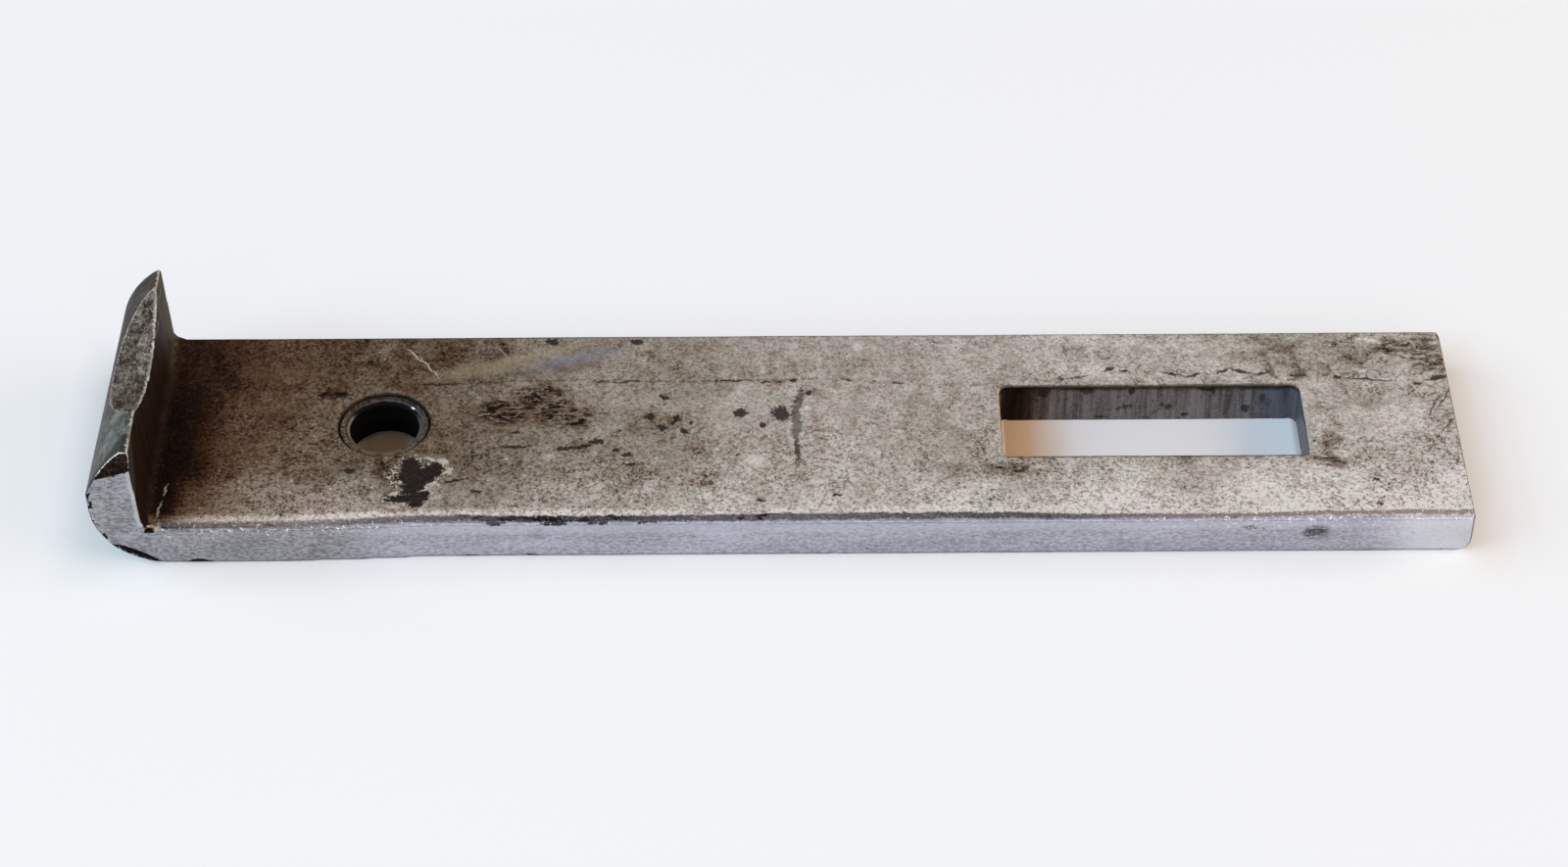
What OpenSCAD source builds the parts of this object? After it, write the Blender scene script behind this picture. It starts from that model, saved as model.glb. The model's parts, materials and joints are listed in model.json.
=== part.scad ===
// Latch bar: a flat steel bar with one end forged up into a dressed claw. A bush
// pressed into the bar behind the claw takes the pivot pin, and a slot towards the
// plain end takes the bolt. Sizes are in millimetres. The origin is on the pivot axis
// at mid-thickness. +X runs to the slotted end, -X to the claw and +Z to the claw's
// crest. The near side of the bar faces -Y and the far side +Y.

/* [Bar] */
// Width of the bar across its two sides
bar_w = 38.1; // [34:0.1:50]
// Thickness of the bar
bar_t = 6.5; // [5.5:0.05:8]
// Distance from the pivot axis to the plain end
pivot_to_end = 149; // [130:0.5:200]
// Distance of the pivot and the slot beyond the bar's centre line, to the far side
offset_y = 0.5; // [-3:0.1:3]
// Bevel along the two long top edges
edge_break = 0.5; // [0.2:0.1:1.2]
// Radius of the plain end's lower edge, seen from the side
end_toe_r = 2.2; // [0.5:0.1:4]
// Radius of the plain end's far corner, seen from above
far_corner_r = 1.2; // [0.4:0.1:6]
// Radius of the plain end's near corner, seen from above
near_corner_r = 0.5; // [0.3:0.1:6]

/* [Claw] */
// Distance from the pivot axis to the root of the claw's bearing face
pivot_to_claw = 31; // [22:0.5:50]
// Thickness of the claw at its root
claw_t = 7.1; // [6:0.1:10]
// Height of the crest above the underside of the bar
claw_h = 19.4; // [17:0.1:26]
// Width of the narrow land that is left along the crest
crest_land = 0.45; // [0.2:0.05:1.5]
// Outward lean of the bearing face, in degrees
claw_lean = 2.7; // [0.5:0.1:6]
// Height above the underside at which the nose starts to curve back
nose_start = 8.3; // [6:0.1:11]
// Turn of the nose away from square, in degrees, which fills it out at the near side
nose_turn = 1.1; // [0.2:0.1:3]
// Radius of the heel under the claw
heel_r = 9.6; // [3:0.1:12]
// Radius of the fillet between the bearing face and the bar
root_r = 1.2; // [0.5:0.1:3]

/* [Dressing of the crest] */
// Radius of the hollow across the crest
hollow_r = 22; // [18:0.5:40]
// Depth of the hollow below the crest, at its middle
hollow_depth = 3.7; // [1:0.1:5]
// Distance of the hollow's middle beyond the centre line of the bar
hollow_offset = 1.8; // [-4:0.1:4]
// Outward fall of the hollow's floor, in degrees
hollow_fall = 10; // [4:1:30]
// Height that the near corner of the crest has lost to the dressed facet
facet_drop = 2.1; // [0.5:0.1:4]
// Rise of the facet along the crest, in degrees
facet_rise = 58; // [30:1:70]
// Fall of the facet towards the nose, in degrees
facet_fall = 21; // [5:1:35]

/* [Forging swell] */
// How far the near side stands out behind the claw
swell = 0.9; // [0.3:0.05:2]
// Distance from the bearing face to the highest point of the swell
swell_peak = 9; // [2:0.5:20]
// Half the length of the swell
swell_reach = 29; // [18:0.5:45]

/* [Bush] */
// Outer diameter of the pivot bush
bush_od = 12.7; // [11.5:0.05:18]
// Bore of the pivot bush
bush_bore = 9.525; // [6:0.025:10]
// How far each end of the bush lies below the face of the bar
bush_recess = 0.25; // [0.1:0.05:1]
// Bevel at the mouths of the bore
bore_bevel = 0.4; // [0.2:0.05:0.6]
// Lead-in bevel on the outer edges of the bush
bush_lead = 0.25; // [0.1:0.05:0.6]
// Radial gap between the bush and its seat
seat_gap = 0.01; // [0.005:0.005:0.05]

/* [Slot] */
// Length of the slot
slot_l = 42; // [20:0.5:60]
// Width of the slot
slot_w = 14; // [8:0.1:22]
// Solid length left between the slot and the plain end
slot_to_end = 21.2; // [10:0.1:40]
// Radius of the slot's corners
slot_corner_r = 1; // [0.4:0.1:3]
// Length of the worn bevel at each end of the slot's top edge
slot_lip = 0.7; // [0.3:0.1:2]
// Depth of that bevel
slot_lip_depth = 0.5; // [0.2:0.1:2]

/* [Hidden] */
$fn = 96;
big_arc_fn = 720;       // facets of the arcs whose radius is larger than the bar
over = 1;               // how far a cutter runs past the metal that it cuts

root_x = -pivot_to_claw;
heel_x = root_x - claw_t;
near_y = -bar_w / 2 - offset_y;
far_y = bar_w / 2 - offset_y;
slot_x = pivot_to_end - slot_to_end - slot_l / 2;

// The bearing face leans out from its root, and the nose is the arc that leaves the
// outer face upright and ends at the outer edge of the crest.
crest_x = root_x - (claw_h - bar_t) * tan(claw_lean);
nose_run = crest_x - crest_land - heel_x;
nose_rise = claw_h - nose_start;
nose_r = (nose_run * nose_run + nose_rise * nose_rise) / (2 * nose_run);

// The swell is a shallow arc that crosses the near side at both of its ends.
swell_x = root_x + swell_peak;
swell_r = (swell_reach * swell_reach + swell * swell) / (2 * swell);
swell_y = near_y - swell + swell_r;
swell_end = swell_x + swell_reach;

bush_l = bar_t - 2 * bush_recess;

// ---- outlines ----

// A quarter of waste outside a round corner. The corner is at the origin and the
// metal lies towards +X and +Y.
module corner_waste(r) {
    difference() {
        translate([-over, -over]) square(r + over);
        translate([r, r]) circle(r);
    }
}

// The fillet at the claw's root. Its corner is at the origin, the bar runs to +X and
// the bearing face rises to +Y, leaning back by the claw's lean.
module root_fillet() {
    reach = root_r * tan((90 - claw_lean) / 2);
    difference() {
        polygon([
            [-root_r, -over],
            [reach, -over],
            [reach, 0],
            [reach, root_r],
            [-reach * sin(claw_lean), reach * cos(claw_lean)],
            [-root_r, reach * cos(claw_lean)]
        ]);
        translate([reach, root_r]) circle(root_r);
    }
}

// Side view, with X along the bar and Y standing for height above the underside
module side_outline() {
    difference() {
        union() {
            translate([heel_x, 0]) square([pivot_to_end - heel_x, bar_t]);
            polygon([
                [heel_x, 0],
                [root_x, 0],
                [root_x, bar_t],
                [crest_x, claw_h],
                [heel_x, claw_h]
            ]);
            translate([root_x, bar_t]) root_fillet();
        }
        translate([heel_x, 0]) corner_waste(heel_r);
        translate([pivot_to_end, 0]) mirror([1, 0]) corner_waste(end_toe_r);
    }
}

// What is dressed off above the outer face to leave the curved nose
module nose_waste() {
    difference() {
        translate([heel_x - claw_t, nose_start])
            square([crest_x - heel_x + claw_t, nose_rise + over]);
        translate([heel_x + nose_r, nose_start]) circle(nose_r, $fn = 360);
    }
}

// View from above
module plan_outline() {
    difference() {
        union() {
            translate([heel_x, near_y]) square([pivot_to_end - heel_x, bar_w]);
            swell_outline();
        }
        translate([pivot_to_end, far_y]) rotate(180) corner_waste(far_corner_r);
        translate([pivot_to_end, near_y]) mirror([1, 0]) corner_waste(near_corner_r);
    }
}

module swell_outline() {
    intersection() {
        translate([heel_x, near_y - swell - over])
            square([swell_end - heel_x, swell + 2 * over]);
        translate([swell_x, swell_y]) circle(swell_r, $fn = big_arc_fn);
    }
}

module slot_outline() {
    inner_l = slot_l - 2 * slot_corner_r;
    inner_w = slot_w - 2 * slot_corner_r;
    square([inner_l, slot_w], center = true);
    square([slot_l, inner_w], center = true);
    for (sx = [-1, 1], sy = [-1, 1])
        translate([sx * inner_l / 2, sy * inner_w / 2]) circle(slot_corner_r);
}

// ---- cutters for the bar ----

// The dressing of the nose, square to the bar at the far side only
module nose_dressing() {
    translate([heel_x, far_y, 0])
        rotate([0, 0, -nose_turn])
            translate([-heel_x, bar_w / 2, 0])
                rotate([90, 0, 0]) linear_extrude(2 * bar_w) nose_waste();
}

// The low hollow that the dressing of the crest never reached
module crest_hollow() {
    translate([crest_x, hollow_offset, claw_h - hollow_depth])
        rotate([0, -hollow_fall, 0])
            translate([0, 0, hollow_r])
                rotate([0, 90, 0]) cylinder(h = 4 * claw_t, r = hollow_r, center = true, $fn = 360);
}

// The flat facet on the near corner of the crest
module crest_facet() {
    translate([crest_x, near_y - swell, claw_h - facet_drop])
        rotate([facet_rise, -facet_fall, 0])
            translate([-2 * claw_t, -claw_t, 0]) cube([4 * claw_t, 3 * claw_t, claw_h]);
}

// A long bevel on a top edge. It starts at the origin, runs along +X, and cuts the
// corner between the top face and a side that faces -Y.
module long_bevel(length) {
    rotate([90, 0, 90])
        linear_extrude(length)
            polygon([
                [-over, -edge_break - over],
                [-over, over],
                [edge_break + over, over]
            ]);
}

// The same bevel where it follows the swell
module swell_bevel() {
    run = edge_break + over;
    difference() {
        translate([root_x + root_r, near_y - swell - over, bar_t - edge_break])
            cube([swell_end - root_x - root_r, swell + edge_break + 2 * over, run]);
        translate([swell_x, swell_y, bar_t - edge_break])
            cylinder(h = run, r1 = swell_r, r2 = swell_r - run, $fn = big_arc_fn);
    }
}

// Worn bevels on the top edges at the two ends of the slot
module slot_lips() {
    for (side = [0, 1])
        translate([slot_x, 0, bar_t])
            mirror([side, 0, 0])
                rotate([90, 0, 0])
                    linear_extrude(slot_w - 2 * slot_corner_r, center = true)
                        polygon([
                            [slot_l / 2 - over, -slot_lip_depth],
                            [slot_l / 2, -slot_lip_depth],
                            [slot_l / 2 + slot_lip, 0],
                            [slot_l / 2 + slot_lip, over],
                            [slot_l / 2 - over, over]
                        ]);
}

// ---- sub-parts ----

// Bar and claw in one forging
module latch_bar() {
    color([0.50, 0.48, 0.46])
        translate([0, 0, -bar_t / 2])
            difference() {
                intersection() {
                    translate([0, far_y + over, 0])
                        rotate([90, 0, 0])
                            linear_extrude(bar_w + swell + 2 * over) side_outline();
                    translate([0, 0, -over])
                        linear_extrude(claw_h + 2 * over) plan_outline();
                }
                nose_dressing();
                crest_hollow();
                crest_facet();
                translate([swell_end, near_y, bar_t]) long_bevel(pivot_to_end - swell_end + over);
                translate([root_x + root_r, far_y, bar_t])
                    mirror([0, 1, 0]) long_bevel(pivot_to_end - root_x - root_r + over);
                swell_bevel();
                translate([0, 0, -over])
                    cylinder(h = bar_t + 2 * over, d = bush_od + 2 * seat_gap);
                translate([slot_x, 0, -over])
                    linear_extrude(bar_t + 2 * over) slot_outline();
                slot_lips();
            }
}

// Plain steel bush, pressed in and standing just below both faces
module pivot_bush() {
    bore_r = bush_bore / 2;
    outer_r = bush_od / 2;
    color([0.36, 0.35, 0.34])
        translate([0, 0, -bush_l / 2])
            rotate_extrude()
                polygon([
                    [bore_r, bore_bevel],
                    [bore_r + bore_bevel, 0],
                    [outer_r - bush_lead, 0],
                    [outer_r, bush_lead],
                    [outer_r, bush_l - bush_lead],
                    [outer_r - bush_lead, bush_l],
                    [bore_r + bore_bevel, bush_l],
                    [bore_r, bush_l - bore_bevel]
                ]);
}

latch_bar();
pivot_bush();
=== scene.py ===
import itertools
import json
import math

import bmesh
import bpy
import numpy as np
from bpy.props import FloatProperty, FloatVectorProperty, PointerProperty
from mathutils import Matrix, Vector


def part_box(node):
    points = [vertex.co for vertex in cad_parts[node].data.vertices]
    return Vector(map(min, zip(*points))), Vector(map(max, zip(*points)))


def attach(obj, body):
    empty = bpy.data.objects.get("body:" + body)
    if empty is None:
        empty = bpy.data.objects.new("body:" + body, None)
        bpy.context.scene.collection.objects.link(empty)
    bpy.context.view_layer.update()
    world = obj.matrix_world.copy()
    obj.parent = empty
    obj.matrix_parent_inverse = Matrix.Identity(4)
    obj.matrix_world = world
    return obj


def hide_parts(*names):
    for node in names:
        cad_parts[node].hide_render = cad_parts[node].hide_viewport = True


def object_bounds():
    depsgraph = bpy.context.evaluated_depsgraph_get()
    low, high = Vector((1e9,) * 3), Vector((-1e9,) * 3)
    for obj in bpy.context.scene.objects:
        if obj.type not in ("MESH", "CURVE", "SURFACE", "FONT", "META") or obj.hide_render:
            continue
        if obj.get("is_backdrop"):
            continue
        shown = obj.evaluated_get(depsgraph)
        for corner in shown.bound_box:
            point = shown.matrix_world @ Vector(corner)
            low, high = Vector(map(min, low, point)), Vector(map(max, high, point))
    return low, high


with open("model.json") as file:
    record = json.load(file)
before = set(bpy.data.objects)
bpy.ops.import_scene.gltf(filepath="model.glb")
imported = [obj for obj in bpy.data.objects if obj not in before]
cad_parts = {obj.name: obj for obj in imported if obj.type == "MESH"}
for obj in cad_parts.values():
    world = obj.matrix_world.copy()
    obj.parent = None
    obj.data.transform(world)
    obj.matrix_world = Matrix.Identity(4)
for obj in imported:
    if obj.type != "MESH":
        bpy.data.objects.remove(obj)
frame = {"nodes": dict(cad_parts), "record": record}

bl_info = {
    "name": "Latch bar",
    "version": (1, 0, 0),
    "blender": (4, 5, 0),
    "location": "3D View > Sidebar > Latch bar",
    "description": "Dresses a forged latch bar and its pivot bush as worn steel, on a pale stage",
    "category": "Object",
}

MM = 0.001

# ---- the forging's own sizes, in millimetres, read from the frame ----

mounts = {mount["name"]: mount for mount in frame["record"]["mounts"]}
openings = {gap["name"]: np.array(gap["box_m"]) / MM for gap in frame["record"]["physics"]["openings"]}
bar_low, bar_high = (np.array(corner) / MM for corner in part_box("latch_bar"))
bush_high = np.array(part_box("pivot_bush")[1]) / MM
bar_corners = np.array([vertex.co for vertex in frame["nodes"]["latch_bar"].data.vertices]) / MM

heel, plain_end = bar_low[0], bar_high[0]
under, crest = bar_low[2], bar_high[2]
top = -under                                  # the origin lies at mid-thickness
far = bar_high[1]
near = bar_corners[bar_corners[:, 0] > plain_end / 2, 1].min()
swell = near - bar_low[1]

face_place = np.array(mounts["bearing_face"]["pos_m"]) / MM
face_normal = np.array(mounts["bearing_face"]["axis"])
lean = face_normal[2] / face_normal[0]        # how far the bearing face leans out for each mm of height
root = face_place[0] + (face_place[2] - top) * lean

slot_play = 0.35                              # from the opening's box to the slot's walls
slot_left, slot_near = openings["bolt_slot"][0][:2] - slot_play
slot_right, slot_far = openings["bolt_slot"][1][:2] + slot_play
slot_corner = 1.2                             # radius round which the slot's mouth is painted

bore_r = mounts["pivot_bore"]["dims"]["r_mm"]
bush_r = bush_high[0]

# ---- the dressing of the claw, as it is ground ----

heel_r = 9.6
heel_axis = (heel + heel_r, under + heel_r)
swell_peak, swell_reach = root + 9, 29
crest_in = root - (crest - top) * lean
hollow_r, hollow_depth, hollow_offset, hollow_fall = 22, 3.7, 1.8, math.radians(10)
facet_drop, facet_rise, facet_fall = 2.1, math.radians(58), math.radians(21)
facet_corner = (crest_in, near - swell, crest - facet_drop)
facet_normal = (
    -math.cos(facet_rise) * math.sin(facet_fall),
    -math.sin(facet_rise),
    math.cos(facet_rise) * math.cos(facet_fall),
)


most_triangles = 190000                       # in the bar's skin


# ---- relief: where metal is missing from the skin, worked out point by point ----


def smooth_noise(places, size, seed):
    """Smooth random values from -1 to 1 with bumps of about the given size, which may differ by axis."""
    period = 64
    table = np.random.default_rng(seed).uniform(-1, 1, (period, period, period))
    spot = places / np.array(size, float)
    cell = np.floor(spot).astype(int)
    part = spot - cell
    blend = part * part * (3 - 2 * part)
    total = np.zeros(len(places))
    for corner in itertools.product((0, 1), repeat=3):
        x, y, z = ((cell + corner) % period).T
        weight = np.prod(np.where(corner, blend, 1 - blend), axis=1)
        total += table[x, y, z] * weight
    return total


def ramp(value, low, high):
    """0 below low, 1 above high and a smooth rise between them."""
    part = np.clip((value - low) / (high - low), 0, 1)
    return part * part * (3 - 2 * part)


def swell_out(x):
    """Y of the bar's near side, with the forging swell behind the claw."""
    return near - swell * np.maximum(0, 1 - ((x - swell_peak) / swell_reach) ** 2)


def ovals(places, marks):
    """How far each point is from the middle of the nearest oval, as a share of the oval's radius."""
    shares = []
    for x, y, half_x, half_y, turn in marks:
        along = (places[:, 0] - x) * math.cos(turn) + (places[:, 1] - y) * math.sin(turn)
        across = (places[:, 1] - y) * math.cos(turn) - (places[:, 0] - x) * math.sin(turn)
        shares.append(np.hypot(along / half_x, across / half_y))
    return np.min(shares, axis=0)


def knock_back(places, gap, width, directions):
    """Moves an edge's points inwards until their gap from the sharp edge is at least width."""
    short = np.maximum(0, width - gap)[:, None] / 2
    for direction in directions:
        places += short * direction


def heel_gap(places):
    """Depth of each point inside the outer face, the heel and the underside."""
    x, z = places[:, 0], places[:, 2]
    across, up = x - heel_axis[0], z - heel_axis[1]
    round_gap = heel_r - np.hypot(across, up)
    far_out = np.maximum(np.hypot(across, up), 0.1)
    inwards = -np.stack([across, np.zeros(len(x)), up], 1) / far_out[:, None]
    flat = across > 0
    tall = (up > 0) & ~flat
    gap = np.where(flat, z - under, np.where(tall, x - heel, round_gap))
    inwards[flat] = (0, 0, 1)
    inwards[tall] = (1, 0, 0)
    return gap, inwards


def hollow_gap(places):
    """Distance of each point below the worn hollow that was ground across the crest."""
    outward = np.array([-math.sin(hollow_fall), 0, math.cos(hollow_fall)])
    along = np.array([math.cos(hollow_fall), 0, math.sin(hollow_fall)])
    middle = np.array([crest_in, hollow_offset, crest - hollow_depth]) + hollow_r * outward
    return np.linalg.norm(np.cross(places - middle, along), axis=1) - hollow_r


def facet_gap(places):
    """Distance of each point below the flat that was ground on the crest's near corner."""
    return -(places - np.array(facet_corner)) @ np.array(facet_normal)


# ---- marks on the top face: middle, half size and turn of each, in millimetres from the pivot axis ----

FLAKES = (                                    # where a scab of scale has flaked off
    (4.2, -8.2, 1.3, 1.5, 0.0),
    (5.0, -10.5, 2.9, 2.1, 0.1),
    (7.5, -9.0, 1.2, 1.7, -0.2),
    (4.8, -12.6, 1.7, 1.6, 0.1),
    (6.0, -14.0, 1.3, 1.6, 0.1),
    (3.7, -14.8, 2.4, 0.9, 0.0),
    (5.4, -15.8, 1.0, 0.6, 0.0),
)
SEAM = (                                      # the forging's lap, open here and there
    (-23.6, 9.0, 2.6, 0.34, 0.05),
    (7.6, 8.3, 3.4, 0.16, 0.0),
    (31.9, 8.6, 3.7, 0.17, 0.0),
    (48.2, 8.7, 2.6, 0.2, 0.0),
    (53.8, 8.4, 2.0, 0.2, 0.0),
    (64.2, 8.9, 1.1, 0.2, -0.3),
    (71.6, 8.1, 0.9, 0.2, -0.2),
    (96.4, 8.9, 2.4, 0.14, 0.12),
    (101.5, 10.6, 1.0, 0.3, 0.5),
    (103.4, 10.4, 0.8, 0.3, 0.0),
    (110.4, 9.6, 1.5, 0.2, -0.25),
    (113.2, 9.3, 1.4, 0.24, 0.22),
    (117.6, 10.1, 1.3, 0.22, 0.4),
    (119.9, 10.0, 1.5, 0.32, -0.32),
    (122.8, 9.5, 1.1, 0.26, 0.2),
    (128.0, 9.1, 1.6, 0.34, 0.12),
    (133.5, 8.8, 0.9, 0.4, 0.0),
    (137.6, 8.2, 3.6, 0.2, -0.1),
    (144.6, 7.4, 0.8, 0.35, 0.0),
    (147.4, 8.4, 1.6, 0.42, 0.2),
)
LOOPS = (                                     # thin curls, most of them along the lap
    (92.9, 8.4, 1.8, 0.55, 0.0),
    (98.8, 9.2, 2.2, 0.5, 0.1),
    (67.7, 8.9, 0.6, 0.7, 0.0),
    (56.4, 9.2, 0.5, 0.6, 0.0),
    (57.6, 6.4, 0.5, 0.6, 0.0),
    (18.6, 11.0, 0.6, 0.8, 0.0),
    (21.3, 11.0, 0.6, 0.7, 0.0),
    (118.2, 9.6, 3.0, 0.8, 0.1),
    (122.9, 9.0, 1.4, 1.1, 0.0),
    (126.4, 10.0, 2.2, 1.8, -0.3),
    (131.0, 9.9, 2.0, 1.5, 0.2),
    (137.4, 8.7, 1.2, 0.7, 0.0),
    (75.8, -7.2, 0.6, 1.0, 0.0),
    (51.2, 13.9, 0.7, 0.6, 0.0),
)
PITS = (                                      # single pits with hard edges
    (18.4, -4.6, 1.8, 0.3, 0.0),
    (18.1, -1.7, 0.7, 0.3, 0.1),
    (25.5, -5.0, 1.1, 0.42, 0.1),
    (29.5, -3.8, 1.0, 0.5, 0.1),
    (22.7, 17.0, 0.9, 0.6, 0.0),
    (34.7, 17.1, 0.7, 0.7, 0.4),
    (38.8, 5.2, 0.6, 0.35, -0.4),
    (36.9, 1.4, 0.6, 0.6, -0.5),
    (40.3, 0.6, 0.3, 0.9, -0.3),
    (38.6, -1.0, 0.6, 0.6, 0.3),
    (41.7, -1.7, 0.6, 0.45, 0.0),
    (42.5, 0.1, 0.3, 0.4, 0.0),
    (32.8, -1.5, 0.3, 0.3, 0.0),
    (32.4, -5.4, 0.4, 0.3, 0.0),
    (33.9, -6.3, 0.7, 0.4, 0.2),
    (34.5, -8.2, 0.7, 0.35, 0.0),
    (49.4, 1.9, 0.85, 0.75, 0.0),
    (55.1, 1.9, 1.1, 1.35, 0.3),
    (52.6, -0.5, 0.5, 0.45, 0.0),
    (56.9, 8.6, 0.5, 0.35, 0.3),
    (58.9, 6.0, 0.4, 0.4, 0.0),
    (47.8, -5.9, 0.2, 0.2, 0.0),
    (49.0, -6.3, 0.2, 0.2, 0.0),
    (52.3, -15.5, 0.55, 0.3, -0.4),
    (62.6, -14.7, 0.7, 0.2, 0.2),
    (136.3, -12.1, 0.4, 0.35, 0.0),
    (128.7, -4.5, 0.2, 0.2, 0.0),
    (44.7, -10.6, 0.3, 0.2, 0.0),
    (-4.0, -9.2, 0.6, 0.5, 0.0),
    (10.4, -11.4, 1.6, 0.22, 0.25),
    (13.6, -13.4, 0.8, 0.25, -0.1),
)
SCRIBE = (                                    # a line struck across the bar
    (57.6, 4.4, 0.6, 2.4, -0.16),
    (57.2, 0.4, 0.7, 4.2, 0.0),
    (57.3, -5.2, 0.36, 3.2, 0.05),
)


def wear_bar(places, normals):
    """Moves the skin's points to the worn surface and returns the marks that the finish is led by."""
    sharp = places.copy()
    x, y, z = sharp.T
    nx, ny, nz = normals.T
    on_top = ramp(nz, 0.75, 0.95) * (z < top + 0.4) * (x > root)
    on_side = ramp(np.abs(ny), 0.75, 0.95)
    behind_face = x < root
    high = z > top + 2
    hollow = ramp(-np.abs(hollow_gap(sharp)), -0.35, -0.15) * ramp(nz, 0.5, 0.7) * behind_face * high
    facet = ramp(-np.abs(facet_gap(sharp)), -0.3, -0.12) * ramp(-ny, 0.5, 0.7) * high

    wave = smooth_noise(sharp, 11, 1) + 0.5 * smooth_noise(sharp, 4.5, 2)
    pits = ramp(smooth_noise(sharp, 0.9, 3) + 0.5 * smooth_noise(sharp, 2.6, 4), 0.3, 0.9)
    depth = 0.03 * (1 + wave) * (1 + 0.8 * on_top - 0.6 * on_side) + 0.06 * pits * (0.2 + on_top)

    shake = np.stack([smooth_noise(sharp, 1.1, 5), smooth_noise(sharp, 1.0, 6), 0 * x], 1)
    depth += 0.14 * on_top * ramp(-ovals(sharp + 0.8 * shake, FLAKES), -1.2, -0.85)
    depth += 0.12 * on_top * ramp(-ovals(sharp + 0.3 * shake, PITS), -1.4, -0.7)
    depth += 0.14 * on_top * ramp(-ovals(sharp + 0.35 * shake * (0, 1, 0), SEAM), -1.6, -0.4)
    depth += 0.08 * on_top * ramp(-ovals(sharp + 0.2 * shake, SCRIBE), -1.2, -0.6)

    gnarls = np.abs(smooth_noise(sharp, (0.9, 1.1, 0.9), 10) + 0.5 * smooth_noise(sharp, 0.5, 11))
    depth += hollow * 0.3 * ramp(gnarls, 0.02, 0.4)
    streaks = smooth_noise(sharp, (0.5, 0.8, 14), 12) * ramp(nx, 0.7, 0.9) * behind_face
    depth += 0.05 * (1 + streaks) * behind_face

    slot_wall = (x > slot_left - 0.3) & (x < slot_right + 0.3) & (np.abs(y) < slot_far + 0.3)
    tooled = slot_wall * (1 - np.abs(nz))
    depth += 0.07 * tooled * (1 + smooth_noise(sharp, (1.1, 1.1, 9), 13))

    places -= normals * depth[:, None]
    chip_edges(places, sharp)
    return {"hollow": hollow, "facet": facet}


def chip_edges(places, sharp):
    """Rounds and chips the bar's edges and breaks a notch out where the near one meets the claw."""
    x, y, z = sharp.T
    near_gap = y - swell_out(x)
    x_in, y_in, z_in = np.diag((-1.0, 1.0, -1.0))    # in from the plain end, the near side and the top
    low_gap, low_in = heel_gap(sharp)
    nick = 0.08 + 0.16 * ramp(smooth_noise(sharp * (1, 0, 1), 1.3, 14), 0.5, 0.9)
    long_chip = np.maximum(0, 1 - ((x - LONG_CHIP[0]) / LONG_CHIP[1]) ** 2) * (z < heel_axis[1])
    short_chip = np.maximum(0, 1 - ((x - SHORT_CHIP[0]) / SHORT_CHIP[1]) ** 2) * (z < heel_axis[1])
    width = nick + 0.12 * long_chip + 0.08 * short_chip
    knock_back(places, low_gap + near_gap, width, (y_in, low_in))
    past_ends = np.maximum(slot_left - x, x - slot_right)
    past_sides = np.maximum(slot_near - y, y - slot_far)
    bite = 0.22 * ramp(smooth_noise(sharp, 0.8, 17) + 0.4 * smooth_noise(sharp, 3.1, 18), 0.45, 1.0)
    on_bar = (x > root + 1.5) & (z > 0)
    clear = 9                                 # a gap that no chip reaches across
    for gap, width, directions in (
        (near_gap, 0.34 + bite, (y_in, z_in)),
        (far - y, 0.3 + 0.5 * bite, (-y_in, z_in)),
        (plain_end - x, 0.2 + 1.4 * bite, (x_in, z_in)),
        (np.maximum(past_ends, past_sides), 0.3 + bite, (z_in,)),
    ):
        knock_back(places, np.where(on_bar, gap + top - z, clear), width, directions)

    notch = np.linalg.norm((sharp - (root + 0.6, swell_out(root), top)) / (0.9, 0.7, 0.6), axis=1)
    places += 0.35 * ramp(-notch, -1, -0.4)[:, None] * (y_in + z_in)


def wear_bush(places, normals):
    """Dishes the ring's two ends towards the bore, rounds its mouths and pits them."""
    sharp = places.copy()
    x, y, z = sharp.T
    radius = np.hypot(x, y)
    flat = ramp(np.abs(normals[:, 2]), 0.6, 0.9)
    worn = ramp(-radius, -bush_r, -bore_r)
    groove = ramp(-np.abs(radius - bush_r + 0.5), -0.22, -0.05) * ramp(-x, 1, 4)
    mouth = ramp(-(radius - bore_r + bush_high[2] - np.abs(z)), -0.8, 0.0)
    depth = flat * (0.12 * worn + 0.1 * groove + 0.05 * (1 + smooth_noise(sharp, 0.5, 21)))
    depth += 0.22 * mouth + (1 - flat) * 0.02 * (1 + smooth_noise(sharp, (1.2, 1.2, 4), 22))
    places -= normals * depth[:, None]
    return {}


# ---- meshes ----


def even_skin(node, name, cell):
    """A copy of a CAD solid as one closed mesh of even quads."""
    mesh = bpy.data.meshes.new(name)
    body = bmesh.new()
    body.from_mesh(frame["nodes"][node].data)
    bmesh.ops.remove_doubles(body, verts=body.verts, dist=0.001 * MM)
    body.to_mesh(mesh)
    body.free()
    piece = bpy.data.objects.new(name, mesh)
    bpy.context.scene.collection.objects.link(piece)
    remesh = piece.modifiers.new("even skin", "REMESH")
    remesh.mode = "VOXEL"
    remesh.voxel_size = cell * MM
    remesh.use_smooth_shade = True
    bake_modifiers(piece)
    return piece


def bake_modifiers(piece):
    """Replaces a piece's mesh by what its modifiers make of it."""
    evaluated = piece.evaluated_get(bpy.context.evaluated_depsgraph_get())
    mesh = bpy.data.meshes.new_from_object(evaluated)
    piece.modifiers.clear()
    piece.data = mesh


def wear(piece, worn):
    """Moves a piece's points by a wear function and keeps its marks as attributes."""
    mesh = piece.data
    count = len(mesh.vertices)
    places = np.empty(count * 3, np.float32)
    normals = np.empty(count * 3, np.float32)
    mesh.vertices.foreach_get("co", places)
    mesh.vertices.foreach_get("normal", normals)
    places = places.reshape(-1, 3).astype(float) / MM
    marks = worn(places, normals.reshape(-1, 3).astype(float))
    mesh.vertices.foreach_set("co", (places * MM).astype(np.float32).ravel())
    for name, values in marks.items():
        layer = mesh.attributes.new(name, "FLOAT", "POINT")
        layer.data.foreach_set("value", values.astype(np.float32))
    mesh.update()


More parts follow.
